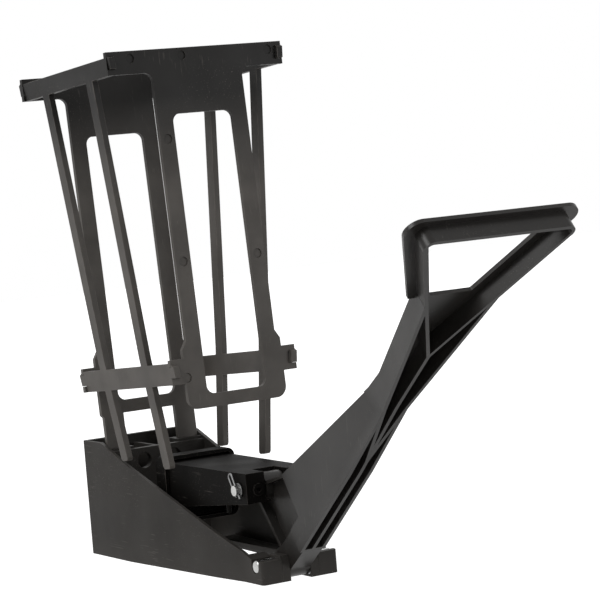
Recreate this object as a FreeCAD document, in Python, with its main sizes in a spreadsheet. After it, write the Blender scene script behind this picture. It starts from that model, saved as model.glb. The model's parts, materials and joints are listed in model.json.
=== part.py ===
"""Lever can crusher with a leaning can magazine, as separate pieces.

Millimetres.  +X points away from the wall, +Z up, and Y = 0 is the plane of symmetry.
The origin is the middle of the wall screw pattern, on the back face of the housing.
"""
import FreeCAD, Part
import math
import os
import Sketcher

Vector = FreeCAD.Vector
doc = FreeCAD.newDocument("lever_can_crusher")

# ------------------------------------------------------------------ driving dimensions

KEY_RADIUS = 0.45               # a screw's hexagon socket, of the shank's diameter
KEY_DEPTH = 0.6                 # its depth, of the head's height
MARK_SHARES = (-0.37, -0.08, 0.42)      # round marks on a top bar, of its width
RIB_SHARES = (0.38, 0.66)       # ribs inside the ram, of its length
OVERLAP = 0.5                   # how far a feature runs into the one that it joins

SIZES = [
    # housing: the wedge-shaped box that holds everything
    ("mount_rise", 47.5, "height of the wall screw pattern above the housing's bottom edge"),
    ("rear_height", 95.0, "height of the housing at the wall"),
    ("rear_width", 92.0, "outside width at the wall"),
    ("shoulder_x", 70.0, "where the side walls start to close in"),
    ("waist_x", 195.0, "front end of the crushing chamber"),
    ("nose_start", 17.0, "side walls run parallel again from here behind the rod"),
    ("nose_reach", 11.0, "front face of the housing before the rod"),
    ("nose_width", 67.0, "outside width over the two rod bosses"),
    ("nose_height", 18.0, "height of the rod bosses"),
    ("slope_start", 32.0, "length of the level top edge at the wall"),
    ("slope_stop", 3.5, "foot of the sloping top edge behind the rod"),
    ("wall", 3.0, "side wall thickness"),
    ("back_wall", 5.0, "back wall thickness"),
    ("anvil_face", 47.0, "distance of the fixed crushing face from the wall"),
    ("anvil_wall", 6.0, "thickness of the fixed crushing wall"),
    ("anvil_height", 88.0, "top of the fixed crushing wall"),
    ("ledge_top", 11.0, "height of the two ledges that carry a can"),
    ("ledge_thick", 4.0, "thickness of the ledges"),
    ("ledge_gap", 48.0, "clear width between the ledges"),
    ("socket_deep", 15.0, "length of the leg sockets behind the crushing wall"),
    ("ledge_start", 88.0, "where the ledges start; crushed cans drop out behind it"),
    ("screw_spacing_y", 28.0, "wall screws, sideways"),
    ("screw_spacing_z", 60.0, "wall screws, up and down"),
    ("screw_hole", 6.0, "diameter of the wall screw holes"),
    ("driver_hole", 13.0, "diameter of the screwdriver holes in the crushing wall"),
    ("rib", 3.0, "thickness of the housing's inner ribs"),
    # rod, bosses and keepers
    ("rod_x", 249.0, "distance of the pivot rod from the wall"),
    ("rod_z", 13.0, "height of the pivot rod above the bottom edge"),
    ("rod_diameter", 10.0, "pivot rod"),
    ("rod_chamfer", 0.8, "chamfer on the ends of the pivot rod"),
    ("boss_reach", 13.0, "back face of the rod bosses behind the rod"),
    ("hub_width", 17.4, "width of the lever's hub"),
    ("keeper_thick", 7.2, "thickness of a rod keeper"),
    ("keeper_top", 20.0, "top of the rod keepers"),
    ("keeper_shoulder", 8.0, "half length of their level top"),
    ("side_gap", 0.3, "running gap on each side of the hub"),
    ("seat_gap", 0.1, "gap between pieces that are screwed or clipped together"),
    ("run_gap", 0.05, "radial running clearance of shafts and pins"),
    ("head_room", 0.4, "room round and over a sunk screw head"),
    ("head_sink", 0.3, "how far a sunk head lies below its face"),
    ("keeper_screw", 3.0, "diameter of the keeper screws"),
    ("keeper_screw_head", 5.6, "diameter of the keeper screw heads"),
    ("keeper_head_deep", 2.4, "height of the keeper screw heads"),
    ("keeper_screw_length", 16.0, "keeper screws under the head"),
    ("keeper_screw_z", 4.4, "height of the keeper screws"),
    ("keeper_screw_spread", 12.6, "distance between a keeper's two screws"),
    # magazine
    ("lean", 5.0, "backward lean of the magazine, degrees"),
    ("mag_setback", 69.0, "can front plane behind the rod, at the magazine's base"),
    ("mag_z", 104.0, "height of the magazine's base above the bottom edge"),
    ("back_panel_x", 37.0, "inner face of the back panel from the wall, at the base"),
    ("can_play", 5.0, "space between the cans' front ends and the front panel"),
    ("panel_thick", 4.0, "thickness of the front and back panels"),
    ("panel_top", 306.0, "top edge of the panels above the magazine's base"),
    ("top_bar", 18.0, "height of the panels' top bars"),
    ("top_width", 156.0, "width of the front and back panels' top bars"),
    ("bar_spread", 66.5, "distance between the two uprights of the front and back panels"),
    ("upright", 13.2, "width of those uprights"),
    ("gusset_deep", 33.0, "depth of the plate under the top bar"),
    ("foot_width", 88.0, "width of the panels at the bottom"),
    ("foot_bottom", 26.0, "bottom edge of the front panel"),
    ("foot_bar", 10.5, "height of the panels' bottom bar"),
    ("tab_width", 112.0, "width over the lower clip tabs"),
    ("tab_low", 46.6, "bottom of the lower clip tabs"),
    ("tab_high", 66.0, "top of the lower clip tabs"),
    ("leg_bottom", -30.0, "lower end of the back panel's two legs"),
    ("leg_width", 18.0, "width of the back panel's legs"),
    ("leg_spread", 66.0, "distance between the back panel's legs"),
    ("leg_socket_low", 58.0, "underside of the leg sockets"),
    ("leg_socket_high", 90.0, "top of the leg sockets"),
    ("leg_screw", 4.0, "diameter of the leg screws"),
    ("leg_screw_head", 8.0, "diameter of the leg screw heads"),
    ("leg_screw_low", 15.5, "leg screws below the magazine's base"),
    ("leg_screw_length", 40.0, "leg screws under the head"),
    ("strip", 5.0, "thickness of the side panels"),
    ("side_top", 78.0, "half width over the side panels at the top"),
    ("side_bend", 57.0, "half width over the side panels at the bend"),
    ("side_foot", 46.0, "half width over the side panels at their lower ends"),
    ("side_drop", 4.0, "top edge of the side panels below that of the other two"),
    ("bar_round", 3.0, "rounding of the bars' lower ends"),
    ("bend_z", 70.0, "height of the bend in the side panels"),
    ("side_bottom", -19.0, "lower ends of the side panels' front bars"),
    ("rear_bar_low", -11.5, "lower ends of their rear bars"),
    ("side_bar", 11.0, "width of the side panels' bars"),
    ("rear_bar_x", -106.0, "middle of the side panels' rear bar"),
    ("front_bar_top_x", -27.0, "middle of the side panels' front bar at the top"),
    ("front_bar_low_x", -37.0, "middle of the side panels' front bar at its lower end"),
    ("cross_bar", 17.0, "height of the side panels' cross bar"),
    ("clip_high", 9.0, "height of the clip tongues"),
    ("clip_reach", 3.6, "how far the clip tongues stand out of the panels"),
    ("clip_barb", 1.6, "height of the barb on a clip tongue"),
    ("clip_gap", 0.3, "play of the clip tongues in their windows"),
    ("foot_round", 9.0, "lower corners of the front panel"),
    ("mark_diameter", 7.6, "round marks on the panels"),
    ("mark_deep", 1.2, "depth of the round marks"),
    ("mark_high", 236.0, "height of the upper mark on an upright"),
    ("mark_low", 140.5, "height of the lower marks on the uprights"),
    ("mark_foot", 51.0, "height of the mark beside the foot"),
    ("mark_foot_y", 42.5, "that mark beside the middle"),
    ("mark_drop", 6.0, "marks on the top bar below its edge"),
    # ram and crushing plate
    ("crank_back", 26.0, "clevis pin behind the pivot rod"),
    ("crank_rise", 56.0, "clevis pin above the pivot rod"),
    ("ram_front", 10.5, "ram in front of the clevis pin"),
    ("ram_rear", 118.0, "ram behind the clevis pin"),
    ("ram_top", 13.0, "top of the ram above the clevis pin"),
    ("ram_front_low", 10.3, "underside of the ram below the pin, at its front end"),
    ("ram_rear_low", 23.0, "underside of the ram below the pin, at its rear end"),
    ("ram_rear_width", 57.4, "width of the ram at its rear end"),
    ("ram_front_width", 53.0, "width of the ram at its front end"),
    ("ram_wall", 3.5, "wall thickness of the ram"),
    ("fork_width", 20.0, "width of the slot in the ram's front end"),
    ("fork_deep", 8.0, "slot in the ram's top, behind the pin"),
    ("pin_diameter", 8.0, "clevis pin"),
    ("pin_boss", 17.0, "diameter of the pin bosses in the ram"),
    ("pin_head", 13.0, "diameter of the clevis pin's head"),
    ("pin_head_thick", 2.5, "thickness of the clevis pin's head"),
    ("pin_tail", 5.2, "clevis pin outside the ram, at the cotter"),
    ("washer_thick", 1.2, "washers on the clevis pin"),
    ("washer_diameter", 11.0, "outside diameter of those washers"),
    ("cotter_wire", 1.6, "wire diameter of the hairpin cotter"),
    ("cotter_hole", 2.0, "cross hole for the cotter"),
    ("cotter_rise", 15.0, "height of the cotter's bow above the pin's axis"),
    ("cotter_lean", 30.0, "backward lean of the cotter, degrees"),
    ("plate_width", 64.6, "width of the moving crushing plate"),
    ("plate_top", 18.0, "top of the crushing plate above the pin"),
    ("plate_low", 36.7, "bottom of the crushing plate below the pin"),
    ("plate_thick", 5.0, "thickness of the crushing plate"),
    ("plate_rim", 10.0, "depth of the rim round its front side"),
    ("plate_rim_thick", 3.0, "thickness of that rim"),
    ("plate_corner", 6.5, "corner radius of the crushing plate"),
    ("plate_gap", 2.2, "gap between the crushing plate and the side walls"),
    ("plate_screw", 4.0, "diameter of the screws in the crushing plate"),
    ("plate_screw_head", 7.6, "diameter of their heads"),
    ("plate_screw_length", 15.0, "length of those screws under the head"),
    ("plate_screw_y", 36.0, "distance between them, sideways"),
    ("front_boss", 9.3, "round bosses on the ram's front face"),
    ("front_boss_hole", 4.0, "holes in them"),
    ("front_boss_y", 16.2, "those bosses beside the middle"),
    ("front_boss_high", 1.2, "height of those bosses"),
    ("peg", 4.0, "diameter of the pegs under the ram's side walls"),
    ("peg_back", 22.0, "pegs behind the clevis pin"),
    ("peg_low", 19.5, "lower end of the pegs below the clevis pin"),
    ("plate_screw_high", 5.0, "upper pair of them, above the clevis pin"),
    ("plate_screw_low", 12.0, "lower pair of them, below the clevis pin"),
    # lever, measured from the rod's axis along the stem, and square to it
    ("stem_angle", 40.2, "stem above the horizontal, degrees"),
    ("hub_diameter", 24.0, "outside of the lever's hub"),
    ("tip_diameter", 22.0, "outside of the crank's tip"),
    ("bush_wall", 1.5, "wall thickness of the plain bushes"),
    ("crank_web", 4.0, "thickness of the crank's web"),
    ("crank_rim", 3.0, "thickness of the rims round the crank's web"),
    ("stem_wall", 3.0, "thickness of the lever's walls and ribs"),
    ("stem_start", 30.0, "start of the stem's side walls"),
    ("stem_half", 10.8, "half width over the stem's parallel walls"),
    ("strip_deep", 8.6, "height of the thicker strip along their front edge"),
    ("strip_step", 1.2, "how far that strip stands proud"),
    ("web_front", 5.3, "front face of the stem's web and of the handle's plate"),
    ("web_thick", 3.0, "thickness of web and plate"),
    ("spread_start", 134.0, "where the lines of the spreading walls meet"),
    ("fork_x", 324.0, "where the spreading walls meet the handle's legs"),
    ("fork_half", 30.4, "half width over the spreading walls there"),
    ("front_root", -11.2, "front edge of the stem at its root"),
    ("front_bend", 130.0, "front edge runs level up to here"),
    ("front_end", -7.8, "front edge of the handle and of the upper stem"),
    ("front_x", 205.0, "where the front edge becomes level again"),
    ("cheek_low", 9.7, "back edge of the stem at its root"),
    ("cheek_start", 47.5, "where the cheeks start to rise"),
    ("cheek_x", 51.7, "where the cheeks are highest"),
    ("cheek_high", 45.7, "back edge of the cheeks there"),
    ("neck_x", 225.0, "where the cheeks run out into the stem"),
    ("neck_back", 11.0, "back edge of the stem there"),
    ("root_width", 20.0, "height of the root beside the hub"),
    ("apex_x", 264.0, "where the lines of the handle's two legs meet"),
    ("leg_spread_x", 86.0, "a length along the stem, beyond that point"),
    ("leg_spread_y", 41.3, "half spacing of the legs' walls there"),
    ("leg_wall", 3.0, "width of the legs' walls"),
    ("grip_wall_x", 396.5, "far face of the wall in the grip"),
    ("grip_round", 7.0, "outer corners of that wall"),
    ("handle_back", 10.0, "back edge of the handle's walls"),
    ("flange_x", 318.0, "near end of the handle's plate beside the stem"),
    ("handle_near", 34.8, "half width of the handle's plate there"),
    ("handle_far", 76.5, "half width of the plate at its far edge, unrounded"),
    ("handle_corner", 11.0, "radius of the plate's two far corners"),
    ("grip_back", 401.5, "far edge of the plate"),
    ("window_low", 318.5, "near edge of the handle's window"),
    ("window_low_half", 17.4, "half width of the window there"),
    ("window_high", 386.0, "far edge of the window"),
    ("window_high_half", 49.1, "half width of the window there"),
    ("window_low_round", 2.0, "near corners of the window"),
    ("window_high_round", 4.0, "far corners of the window"),
]

sheet = doc.addObject("Spreadsheet::Sheet", "Sizes")
for row, (alias, number, meaning) in enumerate(SIZES, start=1):
    sheet.set("A%d" % row, meaning)
    sheet.set("B%d" % row, str(number))
    sheet.setAlias("B%d" % row, alias)
doc.recompute()


class Size:
    """A length that carries its value and the spreadsheet expression behind it."""

    def __init__(self, value, text):
        self.value = value
        self.text = text

    def __add__(self, other):
        other = as_size(other)
        return Size(self.value + other.value, "(%s + %s)" % (self.text, other.text))

    def __sub__(self, other):
        other = as_size(other)
        return Size(self.value - other.value, "(%s - %s)" % (self.text, other.text))

    def __mul__(self, other):
        other = as_size(other)
        return Size(self.value * other.value, "(%s * %s)" % (self.text, other.text))

    def __truediv__(self, other):
        other = as_size(other)
        return Size(self.value / other.value, "(%s / %s)" % (self.text, other.text))

    def __radd__(self, other):
        return as_size(other) + self

    def __rsub__(self, other):
        return as_size(other) - self

    def __rmul__(self, other):
        return as_size(other) * self

    def __neg__(self):
        return Size(-self.value, "(-1 * %s)" % self.text)


def as_size(number):
    return number if isinstance(number, Size) else Size(float(number), "%.6g" % number)


class Driving:
    """Gives each spreadsheet cell by its alias, as a Size."""

    def __getattr__(self, alias):
        return Size(float(sheet.get(alias)), "Sizes." + alias)


S = Driving()


def cosine(angle):
    return Size(math.cos(math.radians(angle.value)), "cos(%s * 1 deg)" % angle.text)


def sine(angle):
    return Size(math.sin(math.radians(angle.value)), "sin(%s * 1 deg)" % angle.text)


def between(x, x0, y0, x1, y1):
    """The height at x of the straight line from (x0, y0) to (x1, y1)."""
    return y0 + (y1 - y0) * ((x - x0) / (x1 - x0))


# ------------------------------------------------------------------ modelling helpers

pieces = []


def bind(thing, prop, size):
    """Ties a property to the spreadsheet."""
    thing.setExpression(prop, as_size(size).text)


def place(thing, x, y, z, turn=0.0):
    """Puts a piece in the frame, turned by so many degrees about +Y."""
    values = [as_size(v) for v in (x, y, z)]
    rotation = FreeCAD.Rotation(Vector(0, 1, 0), turn)
    thing.Placement = FreeCAD.Placement(Vector(*[v.value for v in values]), rotation)
    for axis, value in zip("xyz", values):
        bind(thing, "Placement.Base." + axis, value)


def place_fixed(thing):
    """Pieces of the housing, drawn from the housing's bottom edge."""
    place(thing, 0, 0, -S.mount_rise)


def place_magazine(thing):
    """Pieces of the magazine, drawn in its own leaning frame."""
    place(thing, mag_x, 0, S.mag_z - S.mount_rise, -S.lean.value)


def place_ram(thing):
    """Pieces that move with the ram, drawn from the clevis pin's axis."""
    place(thing, S.rod_x - S.crank_back, 0, S.rod_z + S.crank_rise - S.mount_rise)


def place_lever(thing):
    """Pieces that move with the lever, drawn from the rod's axis along the stem."""
    place(thing, S.rod_x, 0, S.rod_z - S.mount_rise, -S.stem_angle.value)


def new_body(label, placer):
    body = doc.addObject("PartDesign::Body", label)
    body.Label = label
    placer(body)
    pieces.append(body)
    return body


def origin_plane(body, role):
    return [f for f in body.Origin.OriginFeatures if f.Role == role + "_Plane"][0]


def sketch_on(body, role, offset, loops, name):
    """A sketch on an origin plane, moved along the plane's normal by offset.

    A loop is a list of corners, or (centre_x, centre_y, diameter) for a circle.
    """
    sketch = body.newObject("Sketcher::SketchObject", name)
    sketch.AttachmentSupport = [(origin_plane(body, role), "")]
    sketch.MapMode = "FlatFace"
    offset = as_size(offset)
    sketch.AttachmentOffset = FreeCAD.Placement(Vector(0, 0, offset.value), FreeCAD.Rotation())
    bind(sketch, "AttachmentOffset.Base.z", offset)
    rules = []
    sizes = []
    for loop in loops:
        if isinstance(loop, tuple):
            x, y, diameter = [as_size(v) for v in loop]
            arc = Part.Circle(Vector(x.value, y.value, 0), Vector(0, 0, 1), diameter.value / 2)
            index = sketch.addGeometry(arc)
            rules.append(Sketcher.Constraint("DistanceX", -1, 1, index, 3, x.value))
            rules.append(Sketcher.Constraint("DistanceY", -1, 1, index, 3, y.value))
            rules.append(Sketcher.Constraint("Diameter", index, diameter.value))
            sizes += [x, y, diameter]
            continue
        corners = [(as_size(x), as_size(y)) for x, y in loop]
        points = [Vector(x.value, y.value, 0) for x, y in corners]
        lines = [Part.LineSegment(a, b) for a, b in zip(points, points[1:] + points[:1])]
        first = sketch.GeometryCount
        sketch.addGeometry(lines)
        for i, (x, y) in enumerate(corners):
            rules.append(Sketcher.Constraint("DistanceX", -1, 1, first + i, 1, x.value))
            rules.append(Sketcher.Constraint("DistanceY", -1, 1, first + i, 1, y.value))
            sizes += [x, y]
        for i in range(len(corners)):
            after = first + (i + 1) % len(corners)
            rules.append(Sketcher.Constraint("Coincident", first + i, 2, after, 1))
            sizes.append(None)
    numbers = sketch.addConstraint(rules)
    for number, size in zip(numbers, sizes):
        if size is not None and "Sizes." in size.text:
            bind(sketch, "Constraints[%d]" % number, size)
    return sketch


def pad(body, role, low, high, loops, name):
    """Adds material between two heights along X (role YZ), Y (XZ) or Z (XY)."""
    start = -as_size(high) if role == "XZ" else as_size(low)
    before = body.Shape.Volume if body.Tip else 0.0
    feature = body.newObject("PartDesign::Pad", name)
    feature.Profile = sketch_on(body, role, start, loops, name + "_sketch")
    bind(feature, "Length", as_size(high) - low)
    doc.recompute()
    if body.Shape.Volume <= before + 1e-3:
        raise ValueError(name + " adds nothing")
    return feature


def pocket(body, role, low, high, loops, name):
    """Removes material between two heights along X (role YZ), Y (XZ) or Z (XY)."""
    start = -as_size(low) if role == "XZ" else as_size(high)
    before = body.Shape.Volume
    feature = body.newObject("PartDesign::Pocket", name)
    feature.Profile = sketch_on(body, role, start, loops, name + "_sketch")
    bind(feature, "Length", as_size(high) - low)
    doc.recompute()
    if body.Shape.Volume >= before - 1e-3:
        raise ValueError(name + " cuts nothing")
    return feature


def rectangle(x0, y0, x1, y1):
    return [(x0, y0), (x1, y0), (x1, y1), (x0, y1)]


def mirrored(corners):
    """The same loop on the other side of the first coordinate's zero."""
    return [(-as_size(x), y) for x, y in reversed(corners)]


def edges_along(body, axis, spots):
    """Names of the body's straight edges that run along an axis through the given spots."""
    keep = [i for i in range(3) if i != "XYZ".index(axis)]
    names = []
    for i, edge in enumerate(body.Tip.Shape.Edges):
        if len(edge.Vertexes) != 2:
            continue
        a, b = [v.Point for v in edge.Vertexes]
        if any(abs(a[k] - b[k]) > 0.02 for k in keep):
            continue
        for spot in spots:
            if all(abs(a[k] - as_size(s).value) < 0.05 for k, s in zip(keep, spot)):
                names.append("Edge%d" % (i + 1))
                break
    return names


def round_off(body, radius, axis, spots, name, kind="Fillet"):
    """Rounds, or chamfers, the edges along an axis at the given spots."""
    names = edges_along(body, axis, spots)
    if not names:
        raise ValueError(name + " finds no edge")
    base = body.Tip
    feature = body.newObject("PartDesign::" + kind, name)
    feature.Base = (base, names)
    bind(feature, "Radius" if kind == "Fillet" else "Size", radius)
    doc.recompute()
    return feature


def cylinder(name, x, y, z, diameter, length, direction):
    """A plain cylinder from (x, y, z) along a direction."""
    thing = doc.addObject("Part::Cylinder", name)
    bind(thing, "Radius", as_size(diameter) / 2)
    bind(thing, "Height", length)
    spots = [as_size(v) for v in (x, y, z)]
    turn = FreeCAD.Rotation(Vector(0, 0, 1), Vector(*direction))
    thing.Placement = FreeCAD.Placement(Vector(*[v.value for v in spots]), turn)
    for axis, value in zip("xyz", spots):
        bind(thing, "Placement.Base." + axis, value)
    return thing


def screws(label, spots, direction, shank, length, head, head_high, placer):
    """A group of equal cap screws with a hexagon socket; each spot is under a head."""
    group = []
    forward = Vector(*direction)
    for number, spot in enumerate(spots):
        x, y, z = [as_size(v) for v in spot]
        name = "%s_%d" % (label, number)
        body = cylinder(name + "_shank", x, y, z, shank, length, direction)
        over = [v - as_size(head_high) * d for v, d in zip((x, y, z), direction)]
        cap = cylinder(name + "_cap", over[0], over[1], over[2], head, head_high, direction)
        joined = doc.addObject("Part::Fuse", name + "_blank")
        joined.Base = body
        joined.Tool = cap
        key = doc.addObject("Part::Prism", name + "_key")
        key.Polygon = 6
        bind(key, "Circumradius", as_size(shank) * KEY_RADIUS)
        bind(key, "Height", as_size(head_high) * KEY_DEPTH)
        start = FreeCAD.Vector(*[v.value for v in over])
        key.Placement = FreeCAD.Placement(start, FreeCAD.Rotation(Vector(0, 0, 1), forward))
        for axis, value in zip("xyz", over):
            bind(key, "Placement.Base." + axis, value)
        cut = doc.addObject("Part::Cut", name)
        cut.Base = joined
        cut.Tool = key
        group.append(cut)
    bundle = doc.addObject("Part::Compound", label)
    bundle.Label = label
    bundle.Links = group
    placer(bundle)
    pieces.append(bundle)
    return bundle


# ------------------------------------------------------------------ shared places

housing_front = S.rod_x + S.nose_reach
nose_x = S.rod_x - S.nose_start
boss_back = S.rod_x - S.boss_reach
slope_end = S.rod_x - S.slope_stop
mag_x = S.rod_x - S.mag_setback
mag_depth = mag_x + S.can_play - S.back_panel_x
rear_half = S.rear_width / 2
nose_half = S.nose_width / 2
waist_half = S.plate_width / 2 + S.plate_gap + S.wall
hub_half = S.hub_width / 2
keeper_in = hub_half + S.side_gap
keeper_out = keeper_in + S.keeper_thick
boss_in = keeper_out + S.seat_gap


def wall_half(x):
    """Outside half width of the housing between its shoulder and its waist."""
    return between(as_size(x), S.shoulder_x, rear_half, S.waist_x, waist_half)


def in_housing(x, z):
    """A point of the magazine's leaning frame, in the housing's."""
    x, z = as_size(x), as_size(z)
    return (
        mag_x + x * cosine(S.lean) - z * sine(S.lean),
        S.mag_z + z * cosine(S.lean) + x * sine(S.lean),
    )


leg_middle = S.can_play - mag_depth - S.panel_thick / 2
leg_screw_z = in_housing(leg_middle, -S.leg_screw_low)[1]


# ------------------------------------------------------------------ housing


def make_housing():
    body = new_body("housing", place_fixed)
    outside = [
        (0, -rear_half),
        (S.shoulder_x, -rear_half),
        (S.waist_x, -waist_half),
        (nose_x, -nose_half),
        (housing_front, -nose_half),
        (housing_front, nose_half),
        (nose_x, nose_half),
        (S.waist_x, waist_half),
        (S.shoulder_x, rear_half),
        (0, rear_half),
    ]
    inside = [
        (S.back_wall, -rear_half + S.wall),
        (S.shoulder_x, -rear_half + S.wall),
        (S.waist_x, -waist_half + S.wall),
        (nose_x, -nose_half + S.wall),
        (boss_back, -nose_half + S.wall),
        (boss_back, nose_half - S.wall),
        (nose_x, nose_half - S.wall),
        (S.waist_x, waist_half - S.wall),
        (S.shoulder_x, rear_half - S.wall),
        (S.back_wall, rear_half - S.wall),
    ]
    pad(body, "XY", 0, S.rear_height, [outside, inside], "shell")
    above = [
        (S.slope_start, S.rear_height + 1),
        (S.slope_start, S.rear_height),
        (slope_end, S.nose_height),
        (housing_front + 1, S.nose_height),
        (housing_front + 1, S.rear_height + 1),
    ]
    pocket(body, "XZ", -rear_half - 1, rear_half + 1, [above], "slope")
    gap = rectangle(boss_back - 1, -boss_in, housing_front + 1, boss_in)
    pocket(body, "XY", -1, S.rear_height, [gap], "nose_gap")

    # the fixed crushing wall, its ribs and the sockets for the magazine's legs
    skin = S.wall / 2
    anvil_back = S.anvil_face - S.anvil_wall
    anvil = rectangle(anvil_back, -rear_half + skin, S.anvil_face, rear_half - skin)
    pad(body, "XY", 0, S.anvil_height, [anvil], "anvil")
    leg_in = S.leg_spread / 2 - S.leg_width / 2
    leg_out = S.leg_spread / 2 + S.leg_width / 2
    socket_in = leg_in - S.clip_gap - S.rib
    middle = rectangle(skin, -S.rib / 2, anvil_back + skin, S.rib / 2)
    right = rectangle(skin, socket_in, anvil_back + skin, socket_in + S.rib)
    pad(body, "XY", 0, S.anvil_height, [middle, right, mirrored_y(right)], "back_ribs")
    block = rectangle(anvil_back - S.socket_deep, socket_in, anvil_back + skin, rear_half - skin)
    pad(body, "XY", S.leg_socket_low, S.leg_socket_high, [block, mirrored_y(block)], "sockets")
    near = -mag_depth + S.can_play
    slot = [
        in_housing(near - S.panel_thick - S.clip_gap, S.leg_bottom - S.clip_gap),
        in_housing(near + S.clip_gap, S.leg_bottom - S.clip_gap),
        in_housing(near + S.clip_gap, S.foot_bottom),
        in_housing(near - S.panel_thick - S.clip_gap, S.foot_bottom),
    ]
    for side, low, high in (("left", -leg_out, -leg_in), ("right", leg_in, leg_out)):
        pocket(body, "XZ", low - S.clip_gap, high + S.clip_gap, [slot], side + "_leg_slot")

    # ledges that carry a can, open towards the wall so that the crushed one drops out
    ledge = [
        (S.ledge_start, S.ledge_gap / 2),
        (boss_back + skin, S.ledge_gap / 2),
        (boss_back + skin, nose_half - skin),
        (nose_x, nose_half - skin),
        (S.waist_x, waist_half - skin),
        (S.ledge_start, wall_half(S.ledge_start) - skin),
    ]
    low = S.ledge_top - S.ledge_thick
    pad(body, "XY", low, S.ledge_top, [ledge, mirrored_y(ledge)], "ledges")

    # wall screws, screwdriver holes and leg screws
    y = S.screw_spacing_y / 2
    z0 = S.mount_rise - S.screw_spacing_z / 2
    z1 = S.mount_rise + S.screw_spacing_z / 2
    spots = [(-y, z0), (y, z0), (-y, z1), (y, z1)]
    holes = [(a, b, S.screw_hole) for a, b in spots]
    pocket(body, "YZ", -1, S.back_wall + 1, holes, "wall_screw_holes")
    holes = [(a, b, S.driver_hole) for a, b in spots]
    pocket(body, "YZ", anvil_back - 1, S.anvil_face + 1, holes, "driver_holes")
    half = S.leg_spread / 2
    pairs = [(-half, leg_screw_z), (half, leg_screw_z)]
    holes = [(a, b, S.leg_screw + 2 * S.run_gap) for a, b in pairs]
    deep = S.leg_screw + S.leg_screw_length + S.seat_gap
    pocket(body, "YZ", -1, deep, holes, "leg_screw_holes")
    holes = [(a, b, S.leg_screw_head + S.head_room) for a, b in pairs]
    pocket(body, "YZ", -1, S.leg_screw, holes, "leg_screw_seats")

    # saddles for the rod, open at the top, and pilot holes for the keeper screws
    hole = S.rod_diameter + 2 * S.run_gap
    bore = (S.rod_x, S.rod_z, hole)
    mouth = rectangle(S.rod_x - hole / 2, S.rod_z, S.rod_x + hole / 2, S.nose_height + 1)
    pocket(body, "XZ", -nose_half - 1, nose_half + 1, [bore], "saddle_bores")
    pocket(body, "XZ", -nose_half - 1, nose_half + 1, [mouth], "saddle_mouths")
    pilots = [(x, S.keeper_screw_z, S.keeper_screw) for x in keeper_screw_x()]
    deep = boss_in + S.keeper_screw_length - S.keeper_thick + S.keeper_head_deep + 1
    pocket(body, "XZ", -deep, -boss_in + OVERLAP, pilots, "left_pilot_holes")
    pocket(body, "XZ", boss_in - OVERLAP, deep, pilots, "right_pilot_holes")

    corners = [(housing_front, -nose_half), (housing_front, nose_half)]
    round_off(body, S.wall, "Z", corners, "nose_corners")
    corners = [(0, -rear_half), (0, rear_half)]
    round_off(body, S.wall / 2, "Z", corners, "back_corners")
    return body


def mirrored_y(corners):
    """The same loop on the other side of the second coordinate's zero."""
    return [(x, -as_size(y)) for x, y in reversed(corners)]


def keeper_screw_x():
    middle = (boss_back + housing_front) / 2 + 1
    return [middle - S.keeper_screw_spread / 2, middle + S.keeper_screw_spread / 2]


def make_rod():
    body = new_body("pivot_rod", place_fixed)
    end = nose_half - OVERLAP
    pad(body, "XZ", -end, end, [(S.rod_x, S.rod_z, S.rod_diameter)], "rod")
    rims = [
        "Edge%d" % (i + 1)
        for i, edge in enumerate(body.Tip.Shape.Edges)
        if isinstance(edge.Curve, Part.Circle)
    ]
    base = body.Tip
    bevel = body.newObject("PartDesign::Chamfer", "ends")
    bevel.Base = (base, rims)
    bind(bevel, "Size", S.rod_chamfer)
    doc.recompute()
    return body


def make_keeper(label, side):
    """The plate that closes the saddle's open top, inboard of its boss."""
    body = new_body(label, place_fixed)
    low, high = (-keeper_out, -keeper_in) if side < 0 else (keeper_in, keeper_out)
    plate = [
        (boss_back, 0),
        (housing_front, 0),
        (housing_front, S.rod_z),
        (S.rod_x + S.keeper_shoulder, S.keeper_top),
        (S.rod_x - S.keeper_shoulder, S.keeper_top),
        (boss_back, S.rod_z),
    ]
    bore = (S.rod_x, S.rod_z, S.rod_diameter + 2 * S.run_gap)
    holes = [(x, S.keeper_screw_z, S.keeper_screw + S.head_room) for x in keeper_screw_x()]
    pad(body, "XZ", low, high, [plate, bore] + holes, "plate")
    sinks = [(x, S.keeper_screw_z, S.keeper_screw_head + S.head_room) for x in keeper_screw_x()]
    if side < 0:
        pocket(body, "XZ", high - S.keeper_head_deep - S.head_room, high + 1, sinks, "head_seats")
    else:
        pocket(body, "XZ", low - 1, low + S.keeper_head_deep + S.head_room, sinks, "head_seats")
    return body


def make_keeper_screws(label, side):
    y = (keeper_in + S.keeper_head_deep + S.head_room) * side
    spots = [(x, y, S.keeper_screw_z) for x in keeper_screw_x()]
    screws(
        label, spots, (0, side, 0), S.keeper_screw, S.keeper_screw_length,
        S.keeper_screw_head, S.keeper_head_deep, place_fixed,
    )


def make_leg_screws():
    half = S.leg_spread / 2
    spots = [(S.leg_screw, -half, leg_screw_z), (S.leg_screw, half, leg_screw_z)]
    screws(
        "leg_screws", spots, (1, 0, 0), S.leg_screw, S.leg_screw_length,
        S.leg_screw_head, S.leg_screw - S.head_sink, place_fixed,
    )


# ------------------------------------------------------------------ magazine panels


def strip_half(z):
    """Outside half width over the side panels, at a height in the magazine."""
    z = as_size(z)
    if z.value >= S.bend_z.value:
        return between(z, S.bend_z, S.side_bend, S.panel_top, S.side_top)
    return between(z, S.side_bottom, S.side_foot, S.bend_z, S.side_bend)


def clip_rows():
    """Lower and upper edge of the tongues, in the cross bar and in the top bar."""
    rows = []
    for low, high in ((S.tab_low, S.tab_high), (S.panel_top - S.top_bar, S.panel_top)):
        middle = (low + high) / 2
        rows.append((middle - S.clip_high / 2, middle + S.clip_high / 2))
    return rows


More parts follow.
